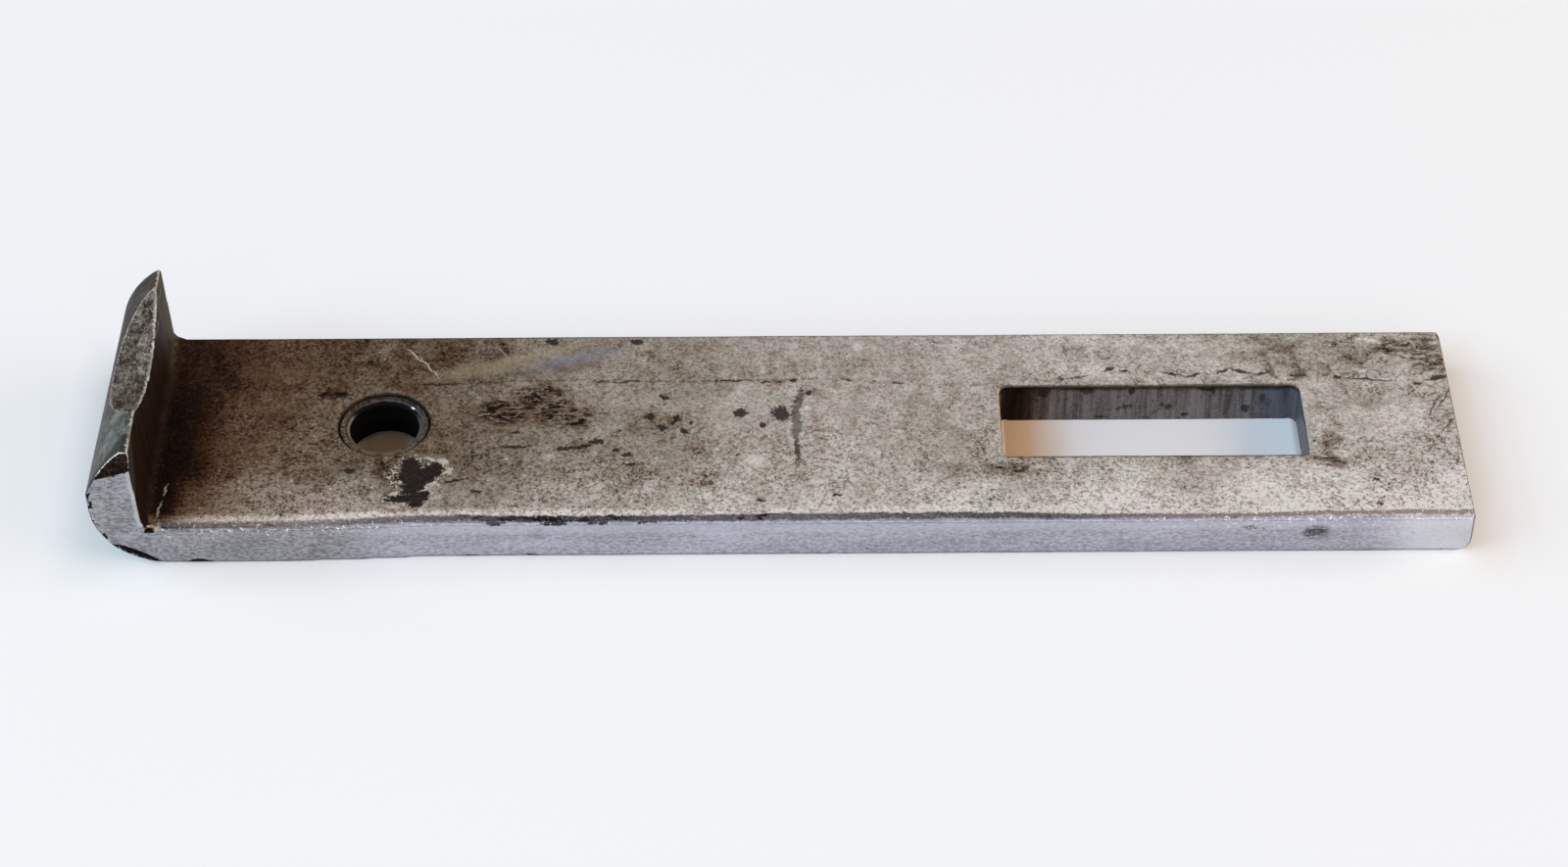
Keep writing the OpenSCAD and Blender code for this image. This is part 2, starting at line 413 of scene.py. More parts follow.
def thin_out(piece, most):
    """Leaves about as many triangles as asked for, with the small ones where the surface turns."""
    faces = 2 * len(piece.data.polygons)
    if faces > most:
        modifier = piece.modifiers.new("thin out", "DECIMATE")
        modifier.ratio = most / faces
        bake_modifiers(piece)


# ---- materials ----


class Field:
    """One output in a material's nodes. Arithmetic on it adds Math or Vector Math nodes."""

    def __init__(self, tree, socket):
        self.tree = tree
        self.socket = socket

    def add(self, kind, settings=None, inputs=None, output=0):
        """A new node of any type: its settings come first, then the values or links of its sockets."""
        node = self.tree.nodes.new(kind)
        for name, value in (settings or {}).items():
            if name == "stops":
                lay_stops(node.color_ramp, value)
            elif name == "points":
                lay_points(node.mapping, value)
            else:
                setattr(node, name, value)
        for key, value in (inputs or {}).items():
            if isinstance(value, Field):
                self.tree.links.new(value.socket, node.inputs[key])
            else:
                node.inputs[key].default_value = value
        return Field(self.tree, node.outputs[output]) if node.outputs else None

    def apply(self, operation, *others):
        """One Math node, or a Vector Math node where this is a vector."""
        vector = self.socket.type == "VECTOR"
        kind = "ShaderNodeVectorMath" if vector else "ShaderNodeMath"
        values = [self, *others]
        if vector:
            values = [v if isinstance(v, Field) or hasattr(v, "__len__") else (v, v, v) for v in values]
        return self.add(kind, {"operation": operation}, dict(enumerate(values)))

    def __add__(self, other):
        return self.apply("ADD", other)

    def __radd__(self, other):
        return self.apply("ADD", other)

    def __sub__(self, other):
        return self.apply("SUBTRACT", other)

    def __rsub__(self, other):
        return (self * -1).apply("ADD", other)

    def __mul__(self, other):
        return self.apply("MULTIPLY", other)

    def __rmul__(self, other):
        return self.apply("MULTIPLY", other)

    def __truediv__(self, other):
        return self.apply("DIVIDE", other)

    def __abs__(self):
        return self.apply("ABSOLUTE")

    def __or__(self, other):
        return self.apply("MAXIMUM", other)

    def __and__(self, other):
        return self.apply("MINIMUM", other)

    def __neg__(self):
        return self.apply("MULTIPLY", -1)

    def length(self):
        """The length of a vector."""
        return self.add("ShaderNodeVectorMath", {"operation": "LENGTH"}, {0: self}, "Value")

    def dot(self, direction):
        """How far a vector reaches in a direction."""
        settings = {"operation": "DOT_PRODUCT"}
        return self.add("ShaderNodeVectorMath", settings, {0: self, 1: direction}, "Value")

    def rise(self, low, high):
        """0 where this is below low, 1 above high and a smooth rise between them."""
        inputs = {"Value": self, "From Min": low, "From Max": high}
        return self.add("ShaderNodeMapRange", {"interpolation_type": "SMOOTHSTEP"}, inputs)

    def fall(self, low, high):
        """1 where this is below low, 0 above high and a smooth fall between them."""
        return 1 - self.rise(low, high)

    def part(self, axis):
        """One component of a vector, by its letter."""
        return self.add("ShaderNodeSeparateXYZ", {}, {0: self}, axis)

    def mix(self, mask, below, above, blend="MIX"):
        """One colour over another."""
        inputs = {0: mask}
        for key, color in ((6, below), (7, above)):
            inputs[key] = color if isinstance(color, Field) else (*color, 1)
        return self.add("ShaderNodeMix", {"data_type": "RGBA", "blend_type": blend}, inputs, 2)


def lay_stops(color_ramp, stops):
    """Sets a colour ramp's stops from pairs of place and colour."""
    while len(color_ramp.elements) > 1:
        color_ramp.elements.remove(color_ramp.elements[-1])
    for index, (place, color) in enumerate(stops):
        element = color_ramp.elements[0] if index == 0 else color_ramp.elements.new(place)
        element.position = place
        element.color = (*color, 1)


def lay_points(mapping, points):
    """Sets a curve's points from pairs of place and value."""
    curve = mapping.curves[0]
    for index, spot in enumerate(points):
        if index < len(curve.points):
            curve.points[index].location = spot
        else:
            curve.points.new(*spot)
    mapping.update()


def blank_nodes(owner):
    """Clears a new material's or world's nodes and gives a Field to add the first ones by."""
    owner.use_nodes = True
    owner.node_tree.nodes.clear()
    return Field(owner.node_tree, None)


def backdrop_rays(start):
    """1 for the rays that show the backdrop: straight, mirrored or through glass."""
    kinds = ("Camera", "Glossy", "Transmission")
    camera, glossy, transmission = (start.add("ShaderNodeLightPath", output=f"Is {k} Ray") for k in kinds)
    return camera | glossy | transmission


def along_bar(x):
    """A place along the bar as a share of its length, from the heel."""
    return (x - heel) / (plain_end - heel)


def linear(*shades):
    """A colour as seen, from 0 to 255 in each channel, as the linear one that a shader takes."""
    parts = [shade / 255 for shade in shades]
    return tuple(part / 12.92 if part <= 0.04045 else ((part + 0.055) / 1.055) ** 2.4 for part in parts)


class Finish:
    """A new material with the coordinates and tools that its masks are made from."""

    def __init__(self, name, settings):
        self.settings = settings
        self.material = bpy.data.materials.new(name)
        self.coordinates = blank_nodes(self.material).add("ShaderNodeTexCoord", output="Object")
        self.place = self.coordinates * (1 / MM)
        self.x, self.y, self.z = (self.place.part(axis) for axis in "XYZ")
        self.on_face = self.place * (1, 1, 0)
        normal = self.place.add("ShaderNodeTexCoord", output="Normal")
        self.nx, self.ny, self.nz = (normal.part(axis) for axis in "XYZ")
        self.color = None

    def scaled(self, size, stretch, shift):
        """Coordinates for a pattern whose bumps have about the given size, in mm."""
        scale = tuple(1 / (MM * size * part) for part in stretch)
        inputs = {"Vector": self.coordinates, "Location": (shift,) * 3, "Scale": scale}
        return self.place.add("ShaderNodeMapping", {"vector_type": "POINT"}, inputs)

    def noise(self, size, detail=2.0, rough=0.5, stretch=(1, 1, 1), shift=0.0, output="Fac"):
        """Random values round 0.5 with bumps of about the given size, in mm."""
        inputs = {"Vector": self.scaled(size, stretch, shift), "Scale": 1.0}
        inputs.update({"Detail": detail, "Roughness": rough})
        return self.place.add("ShaderNodeTexNoise", {"noise_dimensions": "3D"}, inputs, output)

    def cells(self, size, stretch=(1, 1, 1), shift=0.0):
        """Random values from 0 to 1, each for one small cell of about the given size, in mm."""
        inputs = {"Vector": self.scaled(size, stretch, shift), "Scale": 1.0}
        settings = {"voronoi_dimensions": "3D", "feature": "F1"}
        color = self.place.add("ShaderNodeTexVoronoi", settings, inputs, "Color")
        return self.place.add("ShaderNodeSeparateColor", {}, {0: color}, "Red")

    def stirred(self, place, *layers):
        """A place pushed about by noise of each size and amount, in mm."""
        for size, amount in layers:
            split = {0: self.noise(size, output="Color")}
            push_x = self.place.add("ShaderNodeSeparateColor", {}, split, "Red") * amount - amount / 2
            push_y = self.place.add("ShaderNodeSeparateColor", {}, split, "Green") * amount - amount / 2
            place = place + self.pair(push_x, push_y)
        return place

    def pair(self, first, second):
        """Two values as a place on a plane."""
        return self.place.add("ShaderNodeCombineXYZ", {}, {0: first, 1: second})

    def nearest(self, place, marks):
        """How far each place is from the middle of the nearest oval, as a share of the oval's radius."""
        share = None
        for x, y, half_x, half_y, turn in marks:
            if turn == 0:
                inputs = {0: place, 1: (1 / half_x, 1 / half_y, 0), 2: (-x / half_x, -y / half_y, 0)}
                here = place.add("ShaderNodeVectorMath", {"operation": "MULTIPLY_ADD"}, inputs).length()
            else:
                cos, sin = math.cos(turn), math.sin(turn)
                along = place.dot((cos / half_x, sin / half_x, 0)) - (x * cos + y * sin) / half_x
                across = place.dot((-sin / half_y, cos / half_y, 0)) - (y * cos - x * sin) / half_y
                here = self.pair(along, across).length()
            share = here if share is None else share & here
        return share

    def depth(self, point, normal):
        """How deep each place lies under a plane."""
        return float(np.dot(point, normal)) - self.place.dot(tuple(normal))

    def level(self, place, points):
        """A value that changes along the bar, by pairs of x in mm and the value there."""
        points = [(along_bar(x), value) for x, value in points]
        return self.place.add("ShaderNodeFloatCurve", {"points": points}, {"Value": along_bar(place)})

    def hues(self, stops):
        """A colour that changes along the bar, by pairs of x in mm and the colour there."""
        stops = [(along_bar(x), color) for x, color in stops]
        return self.place.add("ShaderNodeValToRGB", {"stops": stops}, {"Fac": along_bar(self.x)}, "Color")

    def blend(self, mask, below, above):
        """One number over another."""
        return self.place.add("ShaderNodeMix", {"data_type": "FLOAT"}, {0: mask, 2: below, 3: above}, 0)

    def mark(self, name):
        """One of the marks that the wear left on the mesh."""
        settings = {"attribute_type": "GEOMETRY", "attribute_name": name}
        return self.place.add("ShaderNodeAttribute", settings, output="Fac")

    def mix(self, mask, below, above, blend="MIX"):
        """One colour over another."""
        return self.place.mix(mask, below, above, blend)

    def paint(self, mask, color, blend="MIX"):
        """Lays a colour over what is painted so far."""
        self.color = self.mix(mask, self.color, color, blend)

    def bump(self, *layers):
        """A normal bent by heights in mm, each at its own strength."""
        normal = None
        for strength, height in layers:
            inputs = {"Strength": strength, "Distance": MM, "Height": height}
            if normal is not None:
                inputs["Normal"] = normal
            normal = self.place.add("ShaderNodeBump", {}, inputs)
        return normal

    def shade(self, roughness, metallic, normal, sheen):
        """Ends the material in a Principled shader."""
        inputs = {"Base Color": self.color, "Roughness": roughness, "Metallic": metallic}
        inputs.update({"Normal": normal, "Specular IOR Level": sheen})
        shader = self.place.add("ShaderNodeBsdfPrincipled", {}, inputs)
        self.place.add("ShaderNodeOutputMaterial", {"target": "ALL"}, {"Surface": shader})
        return self.material


class BarFinish(Finish):
    """The bar's material, with the patterns that all of its faces share."""

    def __init__(self, settings):
        super().__init__("bar_steel", settings)
        along_swell = (self.x - swell_peak) / swell_reach
        near_line = near - swell * ((1 - along_swell * along_swell) | 0)
        self.near_gap = self.y - near_line + top - self.z    # depth inside the top face's near edge
        self.cloud = self.noise(13, 3, 0.6)
        self.mottle = self.noise(2.8, 4, 0.68, shift=7)
        self.grain = self.noise(0.5, 4, 0.72, shift=3)

    def fine(self):
        """A fine pattern round 0, which frays the edges of marks.

        Each group of faces makes its own, because a renderer can hold only so many values at once.
        """
        return self.noise(0.45, 3, 0.7, shift=41) - 0.5


# ---- marks that are only painted, given in the same way, and on the top face unless a note says more ----

BLACK_STAINS = (                              # old scale and grease in ragged patches
    (16.4, 2.6, 3.4, 2.6, 0.0),
    (21.4, 6.0, 3.4, 2.2, 0.2),
    (22.6, 3.8, 3.0, 2.6, -0.3),
    (25.6, 1.2, 3.4, 2.4, 0.0),
    (27.6, -4.2, 1.6, 1.0, 0.0),
    (146.6, 13.4, 3.4, 5.2, 0.2),
    (141.8, 14.8, 2.8, 2.0, 0.0),
    (129.8, -8.2, 3.2, 1.3, -0.2),
    (86.0, -9.8, 3.4, 1.5, -0.1),
    (-7.9, 6.4, 2.4, 1.2, 0.0),
)
BROWN_STAINS = (                              # thin soil, mottled
    (16.0, 2.0, 5.4, 4.0, 0.0),
    (23.0, 3.2, 6.4, 5.4, -0.2),
    (130.8, 1.0, 2.4, 5.4, 0.1),
    (131.0, -5.0, 3.2, 2.6, 0.5),
    (125.0, 14.0, 6.5, 3.4, -0.2),
    (137.0, 12.0, 5.0, 3.6, 0.0),
    (137.0, 3.4, 4.6, 2.0, 0.3),
    (94.0, -9.6, 3.0, 1.3, 0.0),
    (78.6, -9.4, 2.6, 1.8, 0.0),
    (73.0, -0.4, 1.8, 2.6, 0.0),
    (-13.8, 0.4, 2.8, 1.9, 0.0),
    (0.6, -9.6, 1.6, 3.4, 0.3),
    (29.0, -11.0, 1.8, 1.6, 0.2),
    (44.6, -11.6, 3.4, 1.6, 0.2),
    (38.0, 0.0, 5.2, 3.0, 0.0),
    (23.0, 11.0, 5.0, 2.0, 0.2),
    (12.0, 15.4, 6.0, 2.6, 0.1),
    (98.0, 14.0, 5.0, 2.0, 0.0),
    (36.5, 13.6, 2.6, 1.2, -0.4),
)
PALE_SPOTS = (                                # where the steel is rubbed or flaked bright
    (7.2, -6.6, 2.3, 0.9, -0.2),
    (9.0, -8.6, 0.8, 1.6, 0.0),
    (2.4, -16.4, 1.5, 0.45, 0.0),
    (8.2, -14.6, 1.0, 0.5, 0.4),
    (52.5, 11.0, 0.6, 1.3, 0.2),
    (51.4, -7.6, 2.2, 1.2, 0.1),
    (23.0, -6.7, 1.2, 0.9, 0.0),
    (58.6, 2.8, 0.7, 0.6, 0.4),
    (66.1, 15.6, 0.9, 0.8, 0.0),
    (139.5, 16.2, 3.6, 0.6, -0.28),
    (140.5, 13.2, 0.45, 1.1, 0.3),
    (136.9, 10.0, 0.9, 0.4, 0.0),
    (-1.0, 15.6, 2.2, 0.9, 0.7),
    (12.4, 17.0, 1.2, 0.5, -0.6),
    (30.0, -12.6, 1.2, 1.0, 0.0),
    (-6.4, -12.4, 1.0, 0.6, 0.0),
)
FLECKS = (                                    # bright metal, most of it inside and round the flaked scab
    (2.2, -9.7, 0.55, 0.35, 0.0),
    (6.4, -13.0, 1.0, 0.26, 0.2),
    (7.2, -11.9, 0.9, 0.4, 0.5),
    (3.0, -11.4, 0.4, 0.4, 0.0),
    (2.2, -13.9, 0.6, 0.4, 0.0),
    (8.8, -7.4, 0.9, 0.6, -0.6),
    (9.6, -9.4, 0.5, 0.9, 0.0),
    (6.9, -6.9, 0.9, 0.5, -0.4),
    (2.4, -16.5, 1.2, 0.22, 0.1),
    (34.0, -7.9, 0.35, 0.3, 0.0),
    (81.4, 0.7, 0.3, 0.45, 0.0),
)
PALE_SCRATCHES = (
    (3.4, 14.3, 1.8, 0.13, -0.85),
    (5.6, 11.8, 2.6, 0.13, -1.0),
    (-29.4, -16.8, 1.5, 0.16, 1.42),
    (-28.9, -12.8, 1.1, 0.13, 1.42),
    (15.8, 15.0, 1.0, 0.07, -0.9),
    (75.0, 8.4, 2.0, 0.09, 0.8),
)
DARK_SCRATCHES = (
    (146.3, 2.8, 2.9, 0.2, 1.1),
    (147.5, -1.5, 2.1, 0.18, 0.97),
    (147.6, 3.8, 2.2, 0.15, 1.1),
    (145.2, 4.8, 1.2, 0.13, 0.9),
    (148.0, -8.4, 1.6, 0.15, 1.4),
    (144.6, -6.0, 1.6, 0.1, 0.9),
    (0.0, -9.6, 2.6, 0.1, -1.15),
)
SIDE_MARKS = (                                # on the near side, by length and height
    (127.5, 0.4, 2.0, 1.4, 0.2),
    (22.0, 1.0, 1.2, 1.0, 0.3),
    (118.6, 1.4, 1.2, 0.5, 0.0),
)
SIDE_CHIPS = (                                # on the near side too, at its edges
    (21.2, -2.9, 0.9, 0.22, -0.1),
    (12.5, -3.0, 1.4, 0.16, 0.0),
    (24.4, 2.85, 1.8, 0.4, 0.0),
    (30.2, 2.9, 1.5, 0.34, 0.0),
    (36.6, 2.95, 1.6, 0.24, 0.0),
    (16.6, 2.9, 1.4, 0.25, 0.0),
)
CLAW_RUBS = (                                 # bare streaks on the bearing face, under its rim
    (10.2, 12.6, 2.0, 0.3, 0.1),
    (14.6, 14.2, 1.6, 0.25, 0.2),
    (3.5, 13.4, 1.4, 0.2, 0.0),
)
WALL_BLOTS = (                                # on the slot's far wall, by length and height
    (92.0, 1.8, 1.4, 0.9, 0.0),
    (88.8, 2.3, 0.8, 0.6, 0.0),
    (97.5, 2.7, 1.8, 0.35, 0.0),
    (104.4, 2.2, 0.5, 0.7, 0.0),
    (109.8, -0.8, 0.7, 0.45, 0.2),
    (112.2, -2.2, 0.7, 0.4, 0.3),
    (114.6, 2.6, 1.4, 0.3, 0.0),
    (120.6, -1.2, 0.7, 0.9, 0.0),
    (123.0, 0.6, 0.8, 0.8, 0.0),
    (100.4, -2.6, 1.2, 0.3, 0.0),
)
LONG_CHIP = (-32.3, 3.5)                      # along the heel's near edge: middle and half length
SHORT_CHIP = (-24.0, 2.1)

# ---- what changes along the bar, as pairs of x in mm and the value or the colour there ----

NEAR_SOIL = (                                 # how deep soil lies along the near edge, from 0 to 1
    (-31, 1.0), (-28.8, 1.0), (-27.2, 0.8), (-25.6, 0.66), (-20, 0.5), (-10, 0.4), (8, 0.4),
    (22, 0.28), (40, 0.25), (68, 0.16), (85, 0.18), (100, 0.14), (149, 0.06),
)
MIDDLE_SOIL = (                               # along the middle
    (-31, 1.0), (-27.6, 1.0), (-25.6, 0.92), (-24, 0.85), (-22, 0.75), (-20, 0.71), (-8, 0.63),
    (6, 0.625), (18, 0.45), (38, 0.38), (52, 0.28), (90, 0.3), (149, 0.18),
)
FAR_SOIL = (                                  # along the far edge
    (-31, 0.93), (-25, 0.88), (-21, 0.8), (-17, 0.74), (-8, 0.71), (8, 0.64), (24, 0.46),
    (38, 0.4), (55, 0.34), (75, 0.27), (116, 0.22), (127, 0.31), (138, 0.21), (149, 0.15),
)
RUBBED_LIP = (                                # how much soil is rubbed off just inside the near edge
    (-31, 0.34), (8, 0.3), (32, 0.18), (58, 0.08), (84, 0.08), (149, 0.06),
)
BAND_MIDDLE = (                               # the dark line along the near edge: how far in it lies
    (-31, 0.75), (-8, 0.9), (12, 0.88), (24, 0.6), (34, 0.6), (58, 0.74),
    (84, 0.8), (96, 0.5), (116, 0.5), (130, 0.9), (149, 0.95),
)
BAND_HALF = (                                 # half its width
    (-31, 0.5), (-8, 0.58), (12, 0.62), (32, 0.62), (58, 0.74), (84, 0.66), (110, 0.52), (149, 0.55),
)
BAND_COLORS = (                               # its colour
    (-30, linear(122, 116, 121)),
    (-22, linear(110, 104, 110)),
    (-8, linear(96, 87, 93)),
    (10, linear(88, 84, 92)),
    (20, linear(56, 53, 62)),
    (32, linear(52, 50, 60)),
    (44, linear(84, 78, 86)),
    (66, linear(88, 83, 90)),
    (80, linear(74, 68, 75)),
    (92, linear(82, 76, 82)),
    (108, linear(116, 106, 106)),
    (149, linear(134, 123, 123)),
)
FAR_LINE_COLORS = (                           # the colour of the worn line along the far edge
    (-30, linear(44, 36, 26)),
    (40, linear(84, 80, 72)),
    (149, linear(120, 115, 110)),
)
SOIL_TINTS = (                                # what the top face's colour is multiplied by
    (-31, linear(255, 232, 212)),
    (-16, linear(255, 240, 228)),
    (-2, linear(255, 249, 244)),
    (14, linear(255, 251, 248)),
    (40, linear(255, 250, 246)),
    (90, linear(255, 252, 252)),
    (149, linear(255, 252, 252)),
)


def steel_shades(f, soil):
    """The colour of worn steel, from bright at no soil to black where it is caked."""
    stops = (
        (0.0, f.settings.bare_steel),
        (0.14, linear(189, 182, 178)),
        (0.3, linear(157, 149, 142)),
        (0.5, linear(119, 108, 97)),
        (0.66, linear(92, 76, 62)),
        (0.78, linear(72, 53, 38)),
        (0.88, linear(48, 29, 15)),
        (1.0, f.settings.caked_soil),
    )
    return f.place.add("ShaderNodeValToRGB", {"stops": stops}, {"Fac": soil}, "Color")


def paint_top(f):
    """The top face: soil and its tints, marks with edges, and the lines round it. Returns the soil."""
    speck = f.noise(0.34, 2, 0.6, shift=19)
    cell = f.cells(0.34, shift=3)
    fine = f.fine()
    ragged = f.stirred(f.on_face, (2.6, 2.2), (0.8, 1.0))
    shaken = f.stirred(f.on_face, (1.6, 0.9), (0.5, 0.5))
    soil, black = lay_soil(f, speck, cell, fine, ragged, shaken)
    f.color = steel_shades(f, soil)
    tint_soil(f, soil, black, speck)
    mark_top(f, speck, fine, ragged, shaken)
    line_top(f, fine)
    return soil


def lay_soil(f, speck, cell, fine, ragged, shaken):
    """How deep the soil is on the top face, from 0 to 1, and where it is stained black."""
    y, cloud, mottle, grain = f.y, f.cloud, f.mottle, f.grain

    # Thick at the claw and along the far edge, thinner towards the plain end
    wander = f.x + (mottle - 0.5) * 5
    by_near, by_middle, by_far = (f.level(wander, soils) for soils in (NEAR_SOIL, MIDDLE_SOIL, FAR_SOIL))
    soil = f.blend((y + 6 * (cloud - 0.5)).rise(-16, -6), by_near, by_middle)
    soil = f.blend((y + 4 * (mottle - 0.5)).rise(4, 11), soil, by_far)

    # Stains, and where it is rubbed off
    brown = f.nearest(ragged, BROWN_STAINS).fall(0.3, 1.3)
    black = f.nearest(ragged, BLACK_STAINS).fall(0.4, 1.35)
    soil = soil + brown * (0.06 + 0.5 * (mottle - 0.42) | 0)
    drawn = f.noise(1.0, 3, 0.72, stretch=(2.0, 0.8, 1), shift=29)
    soil = soil + black * (0.13 + 0.44 * drawn.rise(0.43, 0.6))
    soil = soil + 0.26 * (drawn + 0.06 * f.x.rise(95, 125) * mottle).rise(0.67, 0.71)
    rubbed = f.nearest(shaken, PALE_SPOTS).fall(0.3, 1.3)
    rubbed = rubbed * (mottle * 0.5 + grain * 0.8).rise(0.5, 0.8)
    soil = soil - 0.34 * rubbed * (1 - soil.rise(0.5, 0.9) * 0.3)

    # Clouds, grit, hair lines and specks
    patch = (cloud - 0.5) * 0.36 + (mottle - 0.5) * 0.48 | -0.08
    rough_part = f.noise(7, 2, 0.6, shift=51).rise(0.36, 0.64)
    coarse = f.blend(y.rise(-12, 4), 1.8, 0.86 + 0.5 * f.x.fall(-12, 30))
    coarse = coarse * (0.65 + 0.6 * rough_part)
    grit = (grain - 0.5) * coarse + (cell - 0.5) * 0.2 | -0.07
    soil = soil - 0.02 + (patch + grit) * (1 - 0.65 * soil.rise(0.78, 1.0))
    hair = abs(f.noise(2.4, 2, 0.65, shift=47) - 0.5)
    lapped = abs(y - 10.5).fall(2, 5) * f.x.rise(86, 92) | f.x.rise(128, 136) * 0.8
    lapped = 0.3 * lapped * cloud.rise(0.4, 0.55) + 0.24 * rough_part * mottle.rise(0.5, 0.6)
    soil = soil + lapped * hair.fall(0.006, 0.022)
    soil = soil + coarse * (0.42 * speck.rise(0.64, 0.7) - 0.16 * speck.fall(0.31, 0.37))

    # The rubbed lip along the near edge
    rubbed_lip = f.level(f.x, RUBBED_LIP)
    inside = f.near_gap + 2 * fine
    soil = soil - rubbed_lip * inside.rise(0.8, 1.5) * inside.fall(1.9, 3.4) * f.nz.rise(0.6, 0.9)
    return soil, black


def tint_soil(f, soil, black, speck):
    """Warms the top face towards the claw, bares veins in its stains and adds temper colours."""
    grain = f.grain
    warm = f.noise(4.5, 3, 0.65, shift=23).rise(0.36, 0.64)
    f.paint(0.5, f.mix(warm, linear(246, 253, 243), linear(255, 248, 247)), "MULTIPLY")
    f.paint(0.45 + 0.55 * soil.rise(0.3, 0.65), f.hues(SOIL_TINTS), "MULTIPLY")
    by_lap = f.nearest(f.stirred(f.on_face, (3.0, 1.6)), ((-15.5, 10.6, 6.0, 2.2, 0.0),))
    f.paint(0.5 * by_lap.fall(0.3, 1.2) * speck.fall(0.5, 0.66), linear(106, 86, 67))

    # Bare veins in the black stains
    vein = abs(f.noise(1.3, 2, 0.6, stretch=(2.2, 0.8, 1), shift=37) - 0.5)
    bared = black.rise(0.2, 0.6) * vein.fall(0.012, 0.04) * grain.rise(0.42, 0.52) * f.x.rise(8, 12)
    f.paint(bared * 0.6, linear(158, 148, 136))

    # Temper colours in a streak behind the bore
    bow = f.stirred(f.on_face, (3.0, 0.8))
    faded = 1 - 0.5 * speck.rise(0.5, 0.66)
    for strength, oval, low, high, temper in (
        (0.65, (14.0, 11.6, 10.5, 1.9, 0.24), 0.3, 1.2, linear(144, 128, 106)),
        (0.5, (23.0, 15.2, 8.5, 1.1, 0.27), 0.2, 1.2, linear(156, 150, 126)),
        (0.45, (23.0, 11.2, 9.0, 1.8, 0.1), 0.2, 1.2, linear(112, 105, 102)),
        (0.6, (26.4, 13.6, 7.5, 1.8, 0.27), 0.1, 1.3, linear(122, 128, 140)),
    ):
        f.paint(strength * faded * f.nearest(bow, (oval,)).fall(low, high), temper)


def mark_top(f, speck, fine, ragged, shaken):
    """The top face's marks with edges: the flaked scab, the lap, pits and scratches."""
    cloud, mottle, grain = f.cloud, f.mottle, f.grain
    flaked = f.nearest(f.stirred(shaken, (0.9, 1.0)), FLAKES)
    fringe = (1.64 - flaked + fine * 1.9).rise(0.0, 0.5)
    f.paint(fringe * speck.rise(0.52, 0.58) * 0.8, linear(214, 206, 196))
    f.paint(fringe * speck.fall(0.4, 0.46) * 0.8, linear(58, 50, 43))
    scab = f.mix(grain.rise(0.35, 0.7), linear(26, 19, 17), linear(50, 41, 37))
    f.paint((1 - flaked + fine * 1.5).rise(-0.08, 0.1), scab)
    flecks = (0.9 - f.nearest(shaken, FLECKS) + fine * 2.4).rise(-0.1, 0.3)
    f.paint(flecks * 0.8, linear(190, 182, 172))
    from_seam = abs(f.y - 8.7 + 1.6 * (cloud - 0.5) + 1.4 * (mottle - 0.5)) + fine * 0.3
    crack = from_seam.fall(0.06, 0.32) * f.x.rise(4, 8) * f.x.fall(60, 68)
    f.paint(crack * grain.rise(0.38, 0.52) * 0.6, linear(70, 57, 45))
    f.paint((1 - f.nearest(shaken, SEAM) + fine * 2.2).rise(-0.2, 0.3) * 0.9, linear(44, 35, 28))
    from_curl = abs(f.nearest(ragged, LOOPS) - 1)
    curled = (from_curl + fine * 0.6).fall(0.06, 0.24) * mottle.rise(0.44, 0.56)
    f.paint(curled * 0.7, linear(76, 64, 52))
    pitted = 1 - 0.84 * f.nearest(f.stirred(shaken, (0.55, 0.5)), PITS) + fine * 1.8
    f.paint(pitted.rise(-0.1, 0.2) * 0.92, linear(36, 30, 23))
    struck = 1 - f.nearest(shaken, SCRIBE) + fine * 2.0
    torn = f.mix(grain.rise(0.4, 0.6) * struck.rise(0.1, 0.5), linear(48, 42, 34), linear(86, 77, 64))
    f.paint(struck.rise(-0.1, 0.2) * (0.7 + 0.25 * mottle.rise(0.4, 0.55)), torn)
    scratched = 1 - 0.8 * f.nearest(shaken, PALE_SCRATCHES) + fine * 1.2
    f.paint(scratched.rise(-0.1, 0.4) * 0.66, linear(190, 178, 164))
    scored = 1 - f.nearest(shaken, DARK_SCRATCHES) + fine * 1.5
    f.paint(scored.rise(-0.1, 0.3) * 0.8, linear(74, 64, 54))


def line_top(f, fine):
    """The dark lines round the bush, the slot's mouth and along the far edge, and a painted highlight on
    the slot's lip at its ends.
    """
    y = f.y
    seat = (f.on_face.length() + fine * 0.5).fall(bush_r + 0.1, bush_r + 0.35)
    f.paint(seat * (0.25 + 0.55 * y.rise(-4.5, -1.0)), linear(44, 35, 27))
    past_ends = (slot_left - f.x) | (f.x - slot_right)
    past_sides = (slot_near - y) | (y - slot_far)
    slot_gap = f.pair(past_ends + slot_corner | 0, past_sides + slot_corner | 0).length() - slot_corner
    # The slot's lip: pale at its ends as a painted highlight on the rounded lip, dark along its sides.
    by_ends = past_ends.rise(-0.1, 0.1)
    lip = (slot_gap + fine * 0.5).fall(0.25, 0.55)
    f.paint(lip * 0.8, f.mix(by_ends, linear(66, 58, 50), linear(176, 165, 152)))
    f.paint((slot_gap + fine * 0.4).fall(0.0, 0.18) * 0.75, linear(46, 38, 32))
    far_gap = far - y + top - f.z
    f.paint((far_gap + fine * 0.5).fall(0.5, 0.9) * 0.75, f.hues(FAR_LINE_COLORS))


def paint_sides(f):
    """The two sides, with their chips round the heel and the dark band along the near edge, and painted
    sheen, highlight and shade.
    """
    fine = f.fine()
    grind_sides(f, fine)
    chip_heel(f, fine)
    line_near_edge(f, fine)


